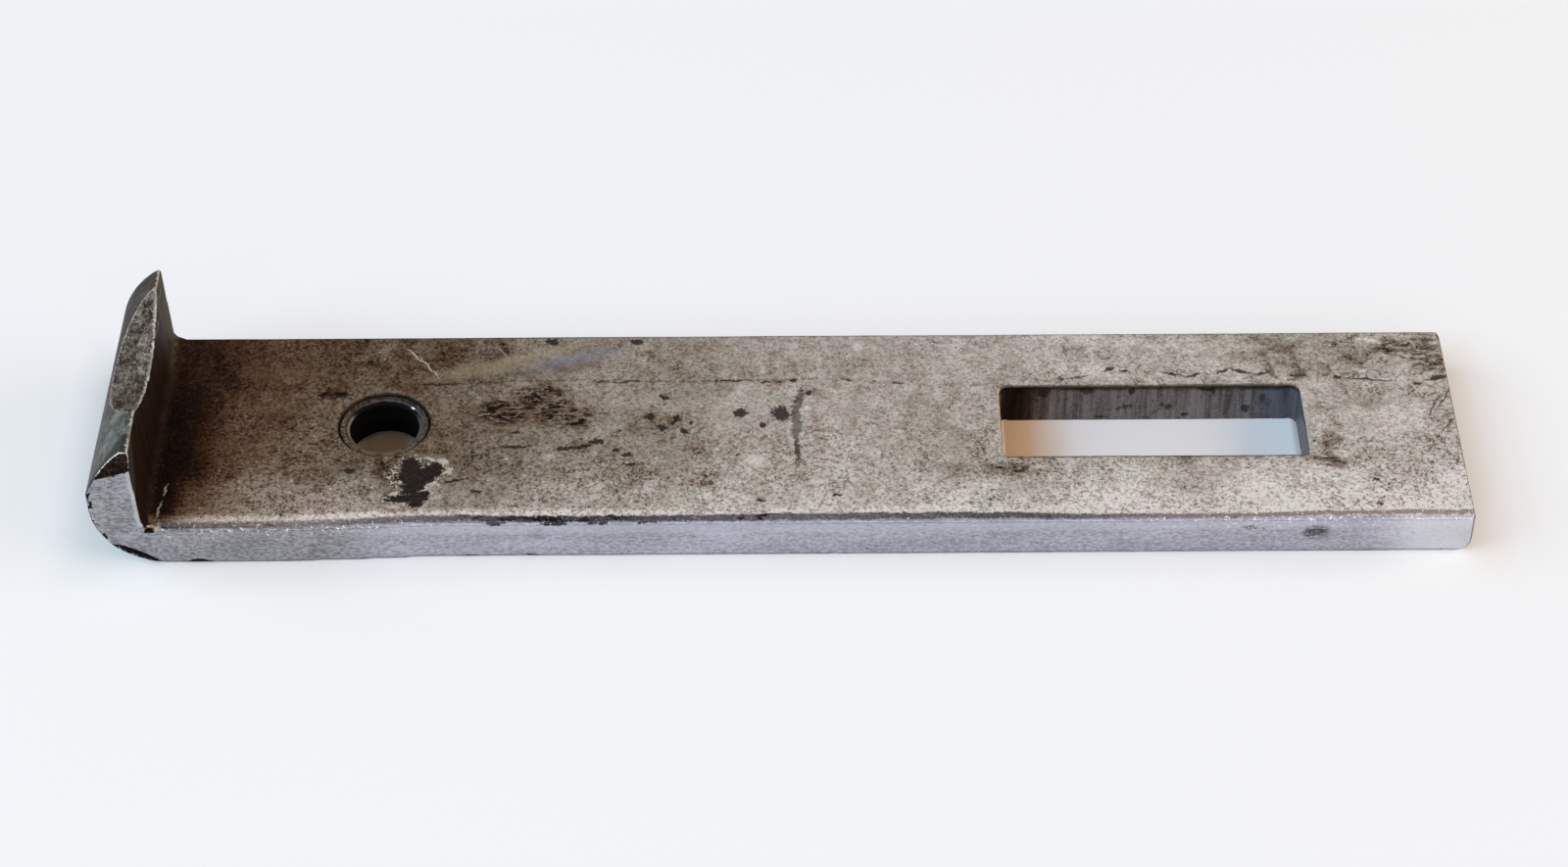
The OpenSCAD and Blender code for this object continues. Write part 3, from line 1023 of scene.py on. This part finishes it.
def grind_sides(f, fine):
    """Satin steel with faint lines, smudges and nicks, as bright as it left the grinder, with painted
    sheen and highlight, and painted shade at its lower edge and at the plain end's corners.
    """
    x, z, mottle, grain = f.x, f.z, f.mottle, f.grain
    flat = f.stirred(f.pair(x, z), (1.4, 0.8), (0.5, 0.4))
    satin_grain = f.noise(0.4, 3, 0.65, stretch=(1.8, 1, 0.8), shift=11)
    satin_cloud = f.noise(6, 3, 0.6, stretch=(2.2, 1, 0.5), shift=5)
    lines = f.noise(1.0, 3, 0.6, stretch=(8, 1, 0.4), shift=13)
    tone = satin_grain * 0.64 + satin_cloud * 0.26 + lines * 0.1
    satin = f.mix(tone.rise(0.37, 0.63), linear(142, 141, 149), f.settings.ground_steel)
    # Painted sheen: a lighter band along the upper part of each side.
    satin = f.mix(abs(z - 1.9).fall(0.3, 1.4) * 0.5, satin, linear(190, 190, 203))
    # Painted highlight: the sides grow brighter towards the plain end.
    satin = f.mix(x.rise(134, 142) * 0.7, satin, linear(214, 214, 220))
    dulled = (satin_grain * 0.7 + mottle * 0.3).rise(0.38, 0.62)
    by_claw = f.mix(dulled, linear(105, 104, 105), linear(162, 161, 163))
    satin = f.mix(x.fall(-8, 4) * 0.75, satin, by_claw)
    pocks = f.noise(0.5, 2, 0.6, shift=77) + 0.12 * (mottle - 0.5)
    satin = f.mix(pocks.rise(0.66, 0.7) * 0.8, satin, linear(88, 86, 88))
    smudge = f.nearest(flat, SIDE_MARKS).fall(0.5, 1.3)
    smudge = smudge * (lines * 0.5 + grain * 0.7).rise(0.48, 0.66)
    satin = f.mix(smudge * (0.45 + 0.45 * x.rise(60, 90)), satin, linear(64, 62, 58))
    nicked = 1 - f.nearest(flat, SIDE_CHIPS) + fine * 1.5
    satin = f.mix(nicked.rise(-0.1, 0.2) * 0.9, satin, linear(30, 27, 30))
    # Painted shade along the bottom edge, where the side meets the floor.
    satin = f.mix((z - under + fine * 0.4).fall(0.25, 0.5) * 0.5, satin, linear(96, 98, 108))
    behind = x.fall(root + 0.1, root + 0.5)
    above = f.near_gap.rise(0.2, 0.3) | behind
    f.paint(abs(f.ny).rise(0.5, 0.75) * abs(f.y).rise(12, 14) * above, satin)
    # Painted shade on the rounded corners of the plain end.
    end_corner_shade = f.nx.rise(0.22, 0.5) * x.rise(plain_end - 3, plain_end - 2)
    f.paint(end_corner_shade * (0.5 + 0.6 * grain), linear(58, 56, 60))


def chip_heel(f, fine):
    """Round the claw a side meets the bearing face in a rubbed border, and the heel in chips whose faces
    are painted near black as shadow.
    """
    x, z = f.x, f.z
    behind = x.fall(root + 0.1, root + 0.5)
    bearing_depth = f.depth(face_place, face_normal)
    side = abs(f.ny).rise(0.6, 0.85)
    border = (bearing_depth + fine * 1.1).fall(0.5, 0.9) * side * z.rise(top, top + 0.6) * behind
    f.paint(border * (0.45 + 0.5 * f.mottle), linear(192, 192, 197))
    across = (x - heel_axis[0]) & 0
    up = (z - heel_axis[1]) & 0
    round_gap = heel_r - f.pair(across, up).length()
    on_long, on_short = ((x - middle) / half for middle, half in (LONG_CHIP, SHORT_CHIP))
    chip_width = (1 - on_long * on_long) * 1.4 | (1 - on_short * on_short) * 0.72
    chip_width = chip_width * z.fall(heel_axis[1] - 3, heel_axis[1])
    # Painted shadow: the chips along the heel's lower edge face down and are painted near black.
    heel_chip_shade = (chip_width + 0.1 - round_gap + fine * 0.5).rise(0.0, 0.08) * chip_width.rise(0.04, 0.14)
    f.paint(heel_chip_shade * f.nz.fall(0.3, 0.6), linear(8, 6, 7))
    outer_gap = (x - heel) & round_gap
    bites = f.noise(1.1, 2, 0.6, shift=87)
    bitten = (bites.rise(0.5, 0.56) * 0.8 - outer_gap + fine * 0.4).rise(0.0, 0.1)
    f.paint(bitten * side * behind, linear(24, 22, 24))
    bright = (bites.rise(0.44, 0.5) - bites.rise(0.5, 0.52) - outer_gap * 1.4).rise(0.0, 0.2)
    f.paint(bright * side * behind * 0.8, linear(206, 206, 210))


def line_near_edge(f, fine):
    """The dark line that wear has left just inside the top face's near edge, what lies on it, and painted
    shade on the slanted edge.
    """
    x, z, mottle, grain = f.x, f.z, f.mottle, f.grain
    band_color = f.hues(BAND_COLORS)
    across_edge = f.near_gap - 2 * (top - z)
    middle = f.level(x, BAND_MIDDLE)
    half = f.level(x, BAND_HALF)
    in_front = x.rise(root + 0.9, root + 1.5)
    # Painted shade: the slanted near edge is darkened against its bright reflection.
    slanted = f.nz.rise(0.1, 0.3) * f.nz.fall(0.86, 0.97) * (-f.ny).rise(0.15, 0.4)
    f.paint(slanted * z.rise(top - 1.3, top - 0.8) * in_front, (0.62, 0.61, 0.62), "MULTIPLY")
    off_line = abs(across_edge + fine * 0.9 + (mottle - 0.5) * 1.1 - middle) - half + 0.06
    band = off_line.fall(-0.2, 0.16) * in_front
    band = band * (0.6 + 0.35 * x.rise(-14, 14) + (grain - 0.5) * 1.2)
    f.paint(band, band_color)
    gaps = f.noise(1.2, 3, 0.7, stretch=(2.2, 1, 1), shift=57) + 0.14 * abs(x - 24).fall(4, 16)
    f.paint(band * gaps.rise(0.6, 0.66), linear(22, 18, 24))

    # The rubbed spot and the notch where that line meets the claw, and bright specks along it
    rubbed_oval = (root + 1.6, near - 0.3, 0.9, 0.45, 0.0)
    rubbed = f.nearest(f.stirred(f.on_face, (0.6, 0.6)), (rubbed_oval,)).fall(0.6, 1.1)
    tan = f.mix(grain.rise(0.4, 0.6), linear(104, 76, 54), linear(214, 192, 168))
    f.paint(rubbed * f.nz.rise(0.2, 0.5) * 0.7, tan)
    notch_oval = (root + 0.7, near - 0.8, 0.8, 0.6, 0.0)
    notch = f.nearest(f.stirred(f.on_face, (0.6, 0.4)), (notch_oval,)).fall(0.7, 1.1)
    f.paint(notch * z.rise(top - 1.0, top - 0.7) * z.fall(top + 0.2, top + 0.5), linear(18, 10, 6))
    specks = (grain + 0.07 * x.rise(90, 120) + 0.05 * x.fall(0, 12)).rise(0.64, 0.68)
    f.paint(specks * f.near_gap.fall(1.5, 2.2) * in_front * 0.85, linear(232, 224, 218))


def paint_claw(f):
    """The claw: its nose, the bearing face, the hollow across its crest and the facet at its corner."""
    fine = f.fine()
    side = abs(f.ny).rise(0.75, 0.92)
    claw = f.x.fall(root - 0.2, root + 0.2) * f.z.rise(top + 0.3, top + 1.5)
    dress_nose(f, fine, side, claw)
    oil_bearing_face(f)
    hollow = line_hollow(f, fine, claw)
    line_crest(f, fine, side, claw, hollow)


def dress_nose(f, fine, side, claw):
    """The nose, ground by hand, with forge scale left round the heel and painted shade on its outward face
    and far part.
    """
    x, y, z, mottle, grain = f.x, f.y, f.z, f.mottle, f.grain
    streaks = f.noise(0.5, 3, 0.6, stretch=(1, 6, 1), shift=33)
    nose = f.mix((y + 8 * (mottle - 0.5)).rise(-9, 5), linear(100, 101, 96), linear(88, 80, 77))
    nose = f.mix((streaks * 0.5 + grain * 0.5).rise(0.4, 0.66) * 0.7, nose, linear(58, 52, 49))
    nose = f.mix((mottle + 0.5 * fine).rise(0.48, 0.6) * 0.75, nose, linear(56, 49, 44))
    nose = f.mix((mottle + 0.3 * fine).fall(0.36, 0.44) * 0.5, nose, linear(126, 126, 124))
    # Painted shade: the outward face and the far part of the nose are darkened against their bright
    # reflections.
    nose = f.mix((-f.nx).rise(0.75, 0.95) * 0.7, nose, (0.74, 0.67, 0.63), "MULTIPLY")
    nose = f.mix(y.rise(-2, 8), nose, (0.67, 0.62, 0.58), "MULTIPLY")
    f.paint(claw * (1 - side) * f.nx.fall(0.7, 0.9), nose)
    scale = f.mix((mottle * 0.6 + grain * 0.5).rise(0.42, 0.66), linear(92, 88, 84), linear(54, 47, 42))
    low_on_claw = (z + 5 * (mottle - 0.5) + 1.5 * fine).fall(top + 0.6, top + 2.6)
    facing_out = (-f.nx).rise(0.05, 0.3) * x.fall(root - 3, root - 1)
    f.paint(low_on_claw * facing_out * (1 - side), scale)


def oil_bearing_face(f):
    """The bearing face, black with oil and rubbed bare in streaks."""
    x, y, z = f.x, f.y, f.z
    rub = f.noise(0.5, 3, 0.65, stretch=(1, 1, 10), shift=61)
    rub_wide = f.noise(1.6, 3, 0.6, stretch=(1, 1, 7), shift=63)
    dark = f.mix((rub * 0.6 + rub_wide * 0.5).rise(0.46, 0.68), linear(8, 2, 0), linear(34, 18, 8))
    dark = f.mix((x - crest_in).fall(-1.0, 2.5) * 0.3, dark, linear(52, 32, 16))
    dry = f.mix(rub.rise(0.35, 0.65), linear(44, 36, 26), linear(88, 78, 64))
    dark = f.mix(y.rise(8, 17) * 0.75, dark, dry)
    rubs = f.nearest(f.stirred(f.pair(y, z), (0.8, 0.8), (0.4, 0.4)), CLAW_RUBS).fall(0.4, 1.2)
    dark = f.mix(rubs * rub.rise(0.35, 0.55) * 0.8, dark, linear(120, 112, 92))
    f.paint(x.fall(root, root + 1.6) * z.rise(top - 0.3, top + 0.2) * f.nx.rise(0.35, 0.75), dark)


def line_hollow(f, fine, claw):
    """The hollow, rough and veined, in a bright rim. Returns its mask."""
    mottle, grain = f.mottle, f.grain
    hollow = f.mark("hollow")
    vein = f.noise(1.3, 2, 0.6, stretch=(1, 1.4, 1), shift=91)
    base = f.mix((mottle * 0.8 + grain * 0.3).rise(0.44, 0.64), linear(116, 106, 96), linear(58, 50, 43))
    dark_vein = abs(vein - 0.5).fall(0.015, 0.05) * grain.rise(0.4, 0.55)
    base = f.mix(dark_vein * 0.8, base, linear(36, 29, 25))
    pale_vein = abs(vein - 0.6).fall(0.01, 0.04) * grain.rise(0.42, 0.55)
    base = f.mix(pale_vein * 0.7, base, linear(158, 149, 138))
    f.paint(hollow.rise(0.4, 0.6), base)
    rim_line = abs(hollow - 0.4).fall(0.2, 0.4) * f.nx.fall(0.5, 0.8) * claw
    f.paint(rim_line * (fine + 0.5).rise(0.3, 0.5) * 0.75, linear(160, 153, 144))
    return hollow


def line_crest(f, fine, side, claw, hollow):
    """The facet's bright ridge under a dark crescent, and the bright rim of the bearing face."""
    bearing_depth = f.depth(face_place, face_normal)
    facet_depth = f.depth(facet_corner, facet_normal)
    on_nose = claw * (1 - side) * hollow.fall(0.2, 0.5) * f.mark("facet").fall(0.4, 0.6)
    crescent = 1.1 + 2.2 * bearing_depth.fall(0.1, 4.5) + 0.8 * fine
    f.paint(on_nose * (facet_depth - crescent).fall(-0.15, 0.15) * 0.85, linear(52, 48, 44))
    f.paint(on_nose * (facet_depth + 0.4 * fine).fall(0.12, 0.28) * 0.9, linear(206, 203, 198))
    facet_color = f.mix(f.grain.rise(0.45, 0.68), linear(18, 12, 9), linear(56, 45, 36))
    f.paint(f.mark("facet").rise(0.35, 0.6), facet_color)
    rim = (bearing_depth + 1.3 * fine).fall(0.36, 0.6) * (1 - side) * f.nx.fall(0.55, 0.8)
    rim = rim * f.mark("facet").fall(0.3, 0.5) * claw
    f.paint(rim * (0.35 + 0.5 * f.mottle.rise(0.42, 0.54)), linear(186, 180, 170))


def paint_slot(f):
    """The slot's walls: cut marks from top to bottom, near black at the left end, with painted cool light
    towards the right end.
    """
    x, y, z, mottle, grain = f.x, f.y, f.z, f.mottle, f.grain
    in_slot = x.rise(slot_left - 0.4, slot_left - 0.2) * x.fall(slot_right + 0.2, slot_right + 0.4)
    wall = in_slot * abs(y).fall(slot_far + 0.1, slot_far + 0.3) * abs(f.nz).fall(0.3, 0.6)
    tooling = f.noise(0.9, 3, 0.65, stretch=(1, 1, 14), shift=71)
    bands = f.noise(3.5, 2, 0.5, stretch=(1, 1, 10), shift=73)
    cut = (tooling * 0.45 + bands * 0.25 + grain * 0.3).rise(0.36, 0.64)
    color = f.mix(cut, linear(72, 66, 64), linear(136, 130, 128))
    flat = f.stirred(f.pair(x, z), (1.2, 1.2), (0.5, 0.7))
    blotted = (0.8 - f.nearest(flat, WALL_BLOTS) + 2.4 * (grain - 0.5)).rise(-0.15, 0.2)
    color = f.mix(blotted * 0.8, color, linear(34, 26, 22))
    color = f.mix(mottle.rise(0.58, 0.66) * 0.7, color, linear(44, 34, 30))
    # Darker towards the left end, near black in the corner.
    left = (x + 2.4 * (tooling - 0.5)).fall(slot_left + 3.6, slot_left + 6.5)
    dark_left_end = f.mix(x.fall(slot_left + 2.5, slot_left + 4.5), linear(36, 25, 11), linear(9, 5, 2))
    color = f.mix(left * 0.9, color, dark_left_end)
    # Painted cool light: the far wall turns bluish towards the right end.
    color = f.mix(x.rise(slot_right - 7, slot_right - 2) * 0.7, color, linear(96, 97, 109))
    rust = f.mix(grain.rise(0.35, 0.65), linear(108, 76, 52), linear(142, 106, 76))
    color = f.mix(f.nx.rise(0.6, 0.9) * x.fall(slot_left + 2, slot_left + 4), color, rust)
    color = f.mix((z + 1.6 * (mottle - 0.5)).rise(2.0, 2.8) * 0.85, color, linear(34, 28, 24))
    f.paint(wall, color)


def make_bar_steel(settings):
    """Worn, finely pitted steel: soiled brown at the claw, satin grey on the sides."""
    f = BarFinish(settings)
    soil = paint_top(f)
    paint_sides(f)
    paint_claw(f)
    paint_slot(f)
    side = abs(f.ny).rise(0.75, 0.92)
    roughness = 0.46 + 0.16 * soil.rise(0.2, 0.9) - 0.1 * side
    metallic = 0.6 + 0.3 * side
    normal = f.bump((0.35, f.grain * 0.12), (0.35, f.mottle * 0.25))
    return f.shade(roughness, metallic, normal, 0.05)


def make_bush_steel(settings):
    """Oiled steel, soiled like the bar round it, black in the bore, with a painted shadow in its far mouth
    and painted highlights and a glint round its mouth.
    """
    f = Finish("bush_steel", settings)
    x, y = f.x, f.y
    grain = f.noise(0.4, 3, 0.7, shift=3)
    mottle = f.noise(1.3, 3, 0.65, shift=9)
    fine = f.noise(0.3, 2, 0.6, shift=41) - 0.5
    radius = f.on_face.length()
    ring = f.mix((y + 2 * (mottle - 0.5)).rise(-5.4, -1.5), linear(92, 80, 68), linear(50, 40, 31))
    ring = f.mix(y.rise(3.0, 4.8), ring, linear(40, 31, 27))
    ring = f.mix((x + y).rise(3.5, 6.5) * y.rise(0, 3) * 0.8, ring, linear(46, 37, 43))
    ring = f.mix(x.rise(3.8, 5.2) * y.fall(0, 3) * 0.8, ring, linear(64, 58, 45))
    ring = f.mix(x.fall(-5.2, -3.8) * 0.8, ring, linear(44, 34, 25))
    f.color = f.mix(grain.rise(0.36, 0.66) * 0.6, ring, f.mix(0.4, ring, linear(150, 138, 122)))
    f.paint(mottle.rise(0.52, 0.6) * 0.7, linear(30, 23, 18))
    pale_pits = abs(radius - 5.75).fall(0.12, 0.3) * x.fall(-5.2, -4.6) * fine.rise(0.0, 0.08)
    f.paint(pale_pits * 0.8, linear(150, 138, 128))
    joint = (radius + fine * 0.3).rise(bush_r - 0.34, bush_r - 0.14)
    f.paint(joint * (0.3 + 0.55 * y.rise(-4.5, -1.0)), linear(26, 19, 14))
    # Painted highlight: a thin pale line round the far mouth at the upper right.
    up_right = (x + y).rise(1.0, 4.0) * y.rise(-1, 1)
    line = abs(radius + fine * 0.2 - bore_r - 0.62).fall(0.04, 0.18) * up_right
    f.paint(line * 0.6, linear(84, 76, 86))
    # Painted shadow inside the far side of the mouth.
    shadow = (radius + fine * 0.2).fall(bore_r + 0.42, bore_r + 0.56) * y.rise(-1.5, 1.5)
    f.paint(shadow, linear(9, 7, 8))
    # Painted highlights on the mouth's rounded lip, at the left and the right.
    mouth = (radius + fine * 0.2).fall(bore_r + 0.3, bore_r + 0.5) * f.nz.rise(0.1, 0.5)
    lit_left = x.fall(-4.4, -3.0) * y.fall(1.5, 3.0)
    lit_right = x.rise(3.4, 4.4) * abs(y).fall(1.0, 3.0) * 0.5
    f.paint(mouth * (lit_left + lit_right) * (grain * 2.0 - 0.4), linear(132, 124, 114))
    # Painted glint on the mouth's lip at the upper right.
    glint = f.nearest(f.on_face, ((3.75, 3.75, 0.38, 0.13, -0.78),)).fall(0.7, 1.1)
    f.paint(glint, linear(236, 236, 240))
    bore = radius.fall(bore_r + 0.12, bore_r + 0.3) * f.nz.fall(0.3, 0.6)
    f.paint(bore, linear(6, 5, 4))
    roughness = 0.5 + 0.2 * grain
    metallic = 0.05 + 0.15 * grain
    return f.shade(roughness, metallic, f.bump((0.5, grain * 0.1)), 0.04)


# ---- settings ----


class LatchFinish(bpy.types.PropertyGroup):
    """How finely the two pieces are modelled, and their main colours."""

    bar_cell: FloatProperty(
        name="Bar cell",
        description="Spacing of the points on the bar's skin",
        default=0.00027,
        min=0.0002,
        max=0.001,
        precision=5,
        unit="LENGTH",
    )
    bush_cell: FloatProperty(
        name="Bush cell",
        description="Spacing of the points on the bush's skin",
        default=0.00015,
        min=0.0001,
        max=0.0005,
        precision=5,
        unit="LENGTH",
    )
    bare_steel: FloatVectorProperty(
        name="Bare steel",
        description="Colour of the top face where no soil is left",
        default=linear(222, 217, 215),
        subtype="COLOR",
    )
    ground_steel: FloatVectorProperty(
        name="Ground sides",
        description="Colour of the two ground sides where they shine",
        default=linear(191, 190, 202),
        subtype="COLOR",
    )
    caked_soil: FloatVectorProperty(
        name="Caked soil",
        description="Colour of the top face where oil and rust are caked on it",
        default=linear(14, 6, 2),
        subtype="COLOR",
    )


class LatchStage(bpy.types.PropertyGroup):
    """Where the camera stands and how the lamps shine."""

    distance: FloatProperty(
        name="Camera distance",
        description="Distance from the camera to the point that it looks at",
        default=0.506,
        min=0,
        unit="LENGTH",
    )
    elevation: FloatProperty(
        name="Camera elevation",
        description="Angle of the camera above the floor",
        default=math.radians(43.1),
        subtype="ANGLE",
    )
    yaw: FloatProperty(
        name="Camera turn",
        description="Turn of the camera about the vertical",
        default=math.radians(-0.27),
        subtype="ANGLE",
    )
    roll: FloatProperty(
        name="Camera roll",
        description="Tilt of the camera about its own line of sight",
        default=math.radians(-0.16),
        subtype="ANGLE",
    )
    lens: FloatProperty(
        name="Lens",
        description="Focal length of the camera",
        default=83.95,
        min=1,
        unit="CAMERA",
    )
    aim_offset: FloatVectorProperty(
        name="Aim",
        description="Point that the camera looks at, from the middle of the part's box",
        default=(0.00005, -0.00155, -0.00305),
        subtype="TRANSLATION",
    )
    daylight: FloatProperty(
        name="Daylight",
        description="Strength of the light from all round",
        default=0.78,
        min=0,
    )
    cool: FloatVectorProperty(
        name="Light from the left",
        description="Colour of the light from the left",
        default=(0.70, 0.88, 1.0),
        subtype="COLOR",
    )
    warm: FloatVectorProperty(
        name="Light from the right",
        description="Colour of the light from the right",
        default=(1.0, 0.87, 0.76),
        subtype="COLOR",
    )
    overhead: FloatVectorProperty(
        name="Light from overhead",
        description="Colour of the weak light from straight above",
        default=(0.28, 0.17, 0.085),
        subtype="COLOR",
    )
    left_power: FloatProperty(
        name="Left lamp",
        description="Power of the lamp on the left",
        default=12.2,
        min=0,
        unit="POWER",
    )
    left_color: FloatVectorProperty(
        name="Left lamp's colour",
        description="Colour of the lamp on the left",
        default=(0.64, 0.87, 1.0),
        subtype="COLOR",
    )
    right_power: FloatProperty(
        name="Right lamp",
        description="Power of the lamp on the right",
        default=10.4,
        min=0,
        unit="POWER",
    )
    right_color: FloatVectorProperty(
        name="Right lamp's colour",
        description="Colour of the lamp on the right",
        default=(1.0, 0.86, 0.71),
        subtype="COLOR",
    )
    front_power: FloatProperty(
        name="Front lamp",
        description="Power of the lamp in front",
        default=6.8,
        min=0,
        unit="POWER",
    )
    front_color: FloatVectorProperty(
        name="Front lamp's colour",
        description="Colour of the lamp in front",
        default=(0.86, 0.95, 1.0),
        subtype="COLOR",
    )
    floor_color: FloatVectorProperty(
        name="Floor",
        description="Colour of the floor",
        default=linear(244, 246, 251),
        subtype="COLOR",
    )


# ---- operators ----


class LATCH_OT_make_stage(bpy.types.Operator):
    """Add the floor, the even daylight, the lamps and the camera"""

    bl_idname = "latch.make_stage"
    bl_label = "Make stage"

    def execute(self, context):
        settings = context.scene.latch_stage
        low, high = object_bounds()
        middle = (low + high) / 2
        self.lay_floor(settings, low, high)
        self.light(context, settings, middle)
        self.stand_camera(context, settings, middle)
        context.scene.view_settings.view_transform = "Standard"
        return {"FINISHED"}

    def lay_floor(self, settings, low, high):
        """Lays a wide sheet of pale paper under the part."""
        reach = 3.0
        middle = (low + high) / 2
        signs = ((-1, -1), (1, -1), (1, 1), (-1, 1))
        corners = [(middle.x + reach * x, middle.y + reach * y, low.z) for x, y in signs]
        mesh = bpy.data.meshes.new("floor")
        mesh.from_pydata(corners, [], [(0, 1, 2, 3)])
        mesh.materials.append(self.make_paper(settings, low, high))
        floor = bpy.data.objects.new("floor", mesh)
        bpy.context.scene.collection.objects.link(floor)
        floor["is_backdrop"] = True

    def make_paper(self, settings, low, high):
        """Matt paper that shows its plain colour through the part's shadow, more so away from the part.

        Under the slot it shows painted light and shade, golden at the left and cool at the right, as if
        thrown down by the walls.
        """
        away = 0.009                          # from the part's box to where its shadow is palest
        fade = 0.001                          # over which the thrown light ends under the slot's ends
        slot_reach = (0.012, 0.014)           # over which it ends on each side of the bar's middle line
        material = bpy.data.materials.new("floor_paper")
        start = blank_nodes(material)
        matt = start.add("ShaderNodeBsdfDiffuse", {}, {"Color": (*settings.floor_color, 1)})
        place = start.add("ShaderNodeTexCoord", output="Object")
        x, y = place.part("X"), place.part("Y")
        length = (slot_right - slot_left) * MM
        along = (x - slot_left * MM) / length
        # Painted light and shade on the floor under the slot, golden at the left, cool at the right.
        thrown = (
            (0.0, (0.32, 0.13, 0.02)),
            (0.1, (0.42, 0.24, 0.12)),
            (0.26, (0.68, 0.7, 0.79)),
            (0.72, (0.68, 0.7, 0.79)),
            (1.0, (0.6, 0.79, 0.98)),
        )
        fringe = start.add("ShaderNodeValToRGB", {"stops": thrown}, {"Fac": along}, "Color")
        from_slot = abs(x - (slot_left + slot_right) / 2 * MM) - length / 2
        in_slot = from_slot.fall(-fade, 0.0) * abs(y).fall(*slot_reach)
        inputs = {"Base Color": (0, 0, 0, 1), "Specular IOR Level": 0.0, "Emission Strength": 1.0}
        inputs["Emission Color"] = start.mix(in_slot, settings.floor_color, fringe)
        plain = start.add("ShaderNodeBsdfPrincipled", {}, inputs)
        middle, half = (low + high) / 2, (high - low) / 2
        beyond = abs(x - middle.x) - half.x | abs(y - middle.y) - half.y
        lift = beyond.rise(0.0, away) * 0.6 | in_slot * (0.7 - 0.25 * along.rise(0.08, 0.26))
        inputs = {0: lift * backdrop_rays(start), 1: matt, 2: plain}
        surface = start.add("ShaderNodeMixShader", {}, inputs)
        start.add("ShaderNodeOutputMaterial", {}, {"Surface": surface})
        return material

    def light(self, context, settings, middle):
        """Lights the stage from low down, cool from the left and warm from the right, weak overhead."""
        world = bpy.data.worlds.new("daylight")
        start = blank_nodes(world)
        way = start.add("ShaderNodeTexCoord", output="Generated")
        sides = start.mix(way.part("X").rise(-0.8, 0.8), settings.cool, settings.warm)
        sky = start.mix(way.part("Z").rise(0.05, 0.6), sides, settings.overhead)
        glow = start.add("ShaderNodeBackground", {}, {"Color": sky, "Strength": settings.daylight})
        paper = start.add("ShaderNodeBackground", {}, {"Color": (*settings.floor_color, 1)})
        mixed = start.add("ShaderNodeMixShader", {}, {0: backdrop_rays(start), 1: glow, 2: paper})
        start.add("ShaderNodeOutputWorld", {}, {"Surface": mixed})
        context.scene.world = world
        for name, place, wide, tall, power, color in (
            ("lamp_left", (-1.0, -0.1, 0.52), 1.3, 0.4, settings.left_power, settings.left_color),
            ("lamp_right", (1.0, -0.1, 0.52), 1.3, 0.4, settings.right_power, settings.right_color),
            ("lamp_front", (0.0, -1.1, 0.5), 1.5, 0.35, settings.front_power, settings.front_color),
        ):
            lamp = bpy.data.lights.new(name, "AREA")
            lamp.shape = "RECTANGLE"
            lamp.size = wide
            lamp.size_y = tall
            lamp.energy = power
            lamp.color = color
            holder = bpy.data.objects.new(name, lamp)
            holder.location = middle + Vector(place)
            holder.rotation_euler = (-Vector(place)).to_track_quat("-Z", "Y").to_euler()
            context.scene.collection.objects.link(holder)

    def stand_camera(self, context, settings, middle):
        """Stands the camera in front of the part, looking down at it."""
        camera = bpy.data.cameras.new("camera")
        camera.lens = settings.lens
        camera.sensor_width = 36              # in mm, as the focal length is
        holder = bpy.data.objects.new("camera", camera)
        turn = (
            Matrix.Rotation(settings.yaw, 3, "Z")
            @ Matrix.Rotation(math.pi / 2 - settings.elevation, 3, "X")
            @ Matrix.Rotation(settings.roll, 3, "Z")
        )
        back = turn @ Vector((0, 0, 1))
        aim = middle + Vector(settings.aim_offset)
        holder.matrix_world = Matrix.Translation(aim + back * settings.distance) @ turn.to_4x4()
        context.scene.collection.objects.link(holder)
        context.scene.camera = holder


class LATCH_OT_make_bar(bpy.types.Operator):
    """Replace the bar's plain solid with a worn steel skin"""

    bl_idname = "latch.make_bar"
    bl_label = "Make bar"

    def execute(self, context):
        settings = context.scene.latch_finish
        cell = settings.bar_cell / MM * 1
        piece = even_skin("latch_bar", "bar_skin", cell)
        wear(piece, wear_bar)
        thin_out(piece, most_triangles)
        piece.data.materials.clear()
        piece.data.materials.append(make_bar_steel(settings))
        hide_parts("latch_bar")
        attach(piece, "root")
        return {"FINISHED"}


class LATCH_OT_make_bush(bpy.types.Operator):
    """Replace the bush's plain solid with a dished and pitted ring"""

    bl_idname = "latch.make_bush"
    bl_label = "Make bush"

    def execute(self, context):
        settings = context.scene.latch_finish
        piece = even_skin("pivot_bush", "bush_ring", settings.bush_cell / MM)
        wear(piece, wear_bush)
        piece.data.materials.clear()
        piece.data.materials.append(make_bush_steel(settings))
        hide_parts("pivot_bush")
        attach(piece, "root")
        return {"FINISHED"}


class LATCH_PT_panel(bpy.types.Panel):
    """The latch bar's settings and steps"""

    bl_idname = "LATCH_PT_panel"
    bl_label = "Latch bar"
    bl_space_type = "VIEW_3D"
    bl_region_type = "UI"
    bl_category = "Latch bar"

    def draw(self, context):
        for group in (context.scene.latch_stage, context.scene.latch_finish):
            box = self.layout.box()
            for name in group.__annotations__:
                box.prop(group, name)
        for operator in (LATCH_OT_make_stage, LATCH_OT_make_bar, LATCH_OT_make_bush):
            self.layout.operator(operator.bl_idname)


CLASSES = (
    LatchFinish,
    LatchStage,
    LATCH_OT_make_stage,
    LATCH_OT_make_bar,
    LATCH_OT_make_bush,
    LATCH_PT_panel,
)


def register():
    """Adds the classes and the scene's two groups of settings."""
    for cls in CLASSES:
        bpy.utils.register_class(cls)
    bpy.types.Scene.latch_finish = PointerProperty(type=LatchFinish)
    bpy.types.Scene.latch_stage = PointerProperty(type=LatchStage)


def unregister():
    """Takes away what register adds."""
    del bpy.types.Scene.latch_stage
    del bpy.types.Scene.latch_finish
    for cls in reversed(CLASSES):
        bpy.utils.unregister_class(cls)


def main():
    """Makes the stage and the two pieces."""
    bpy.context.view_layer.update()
    register()
    bpy.ops.latch.make_stage()
    bpy.ops.latch.make_bar()
    bpy.ops.latch.make_bush()


if __name__ == "__main__":
    main()
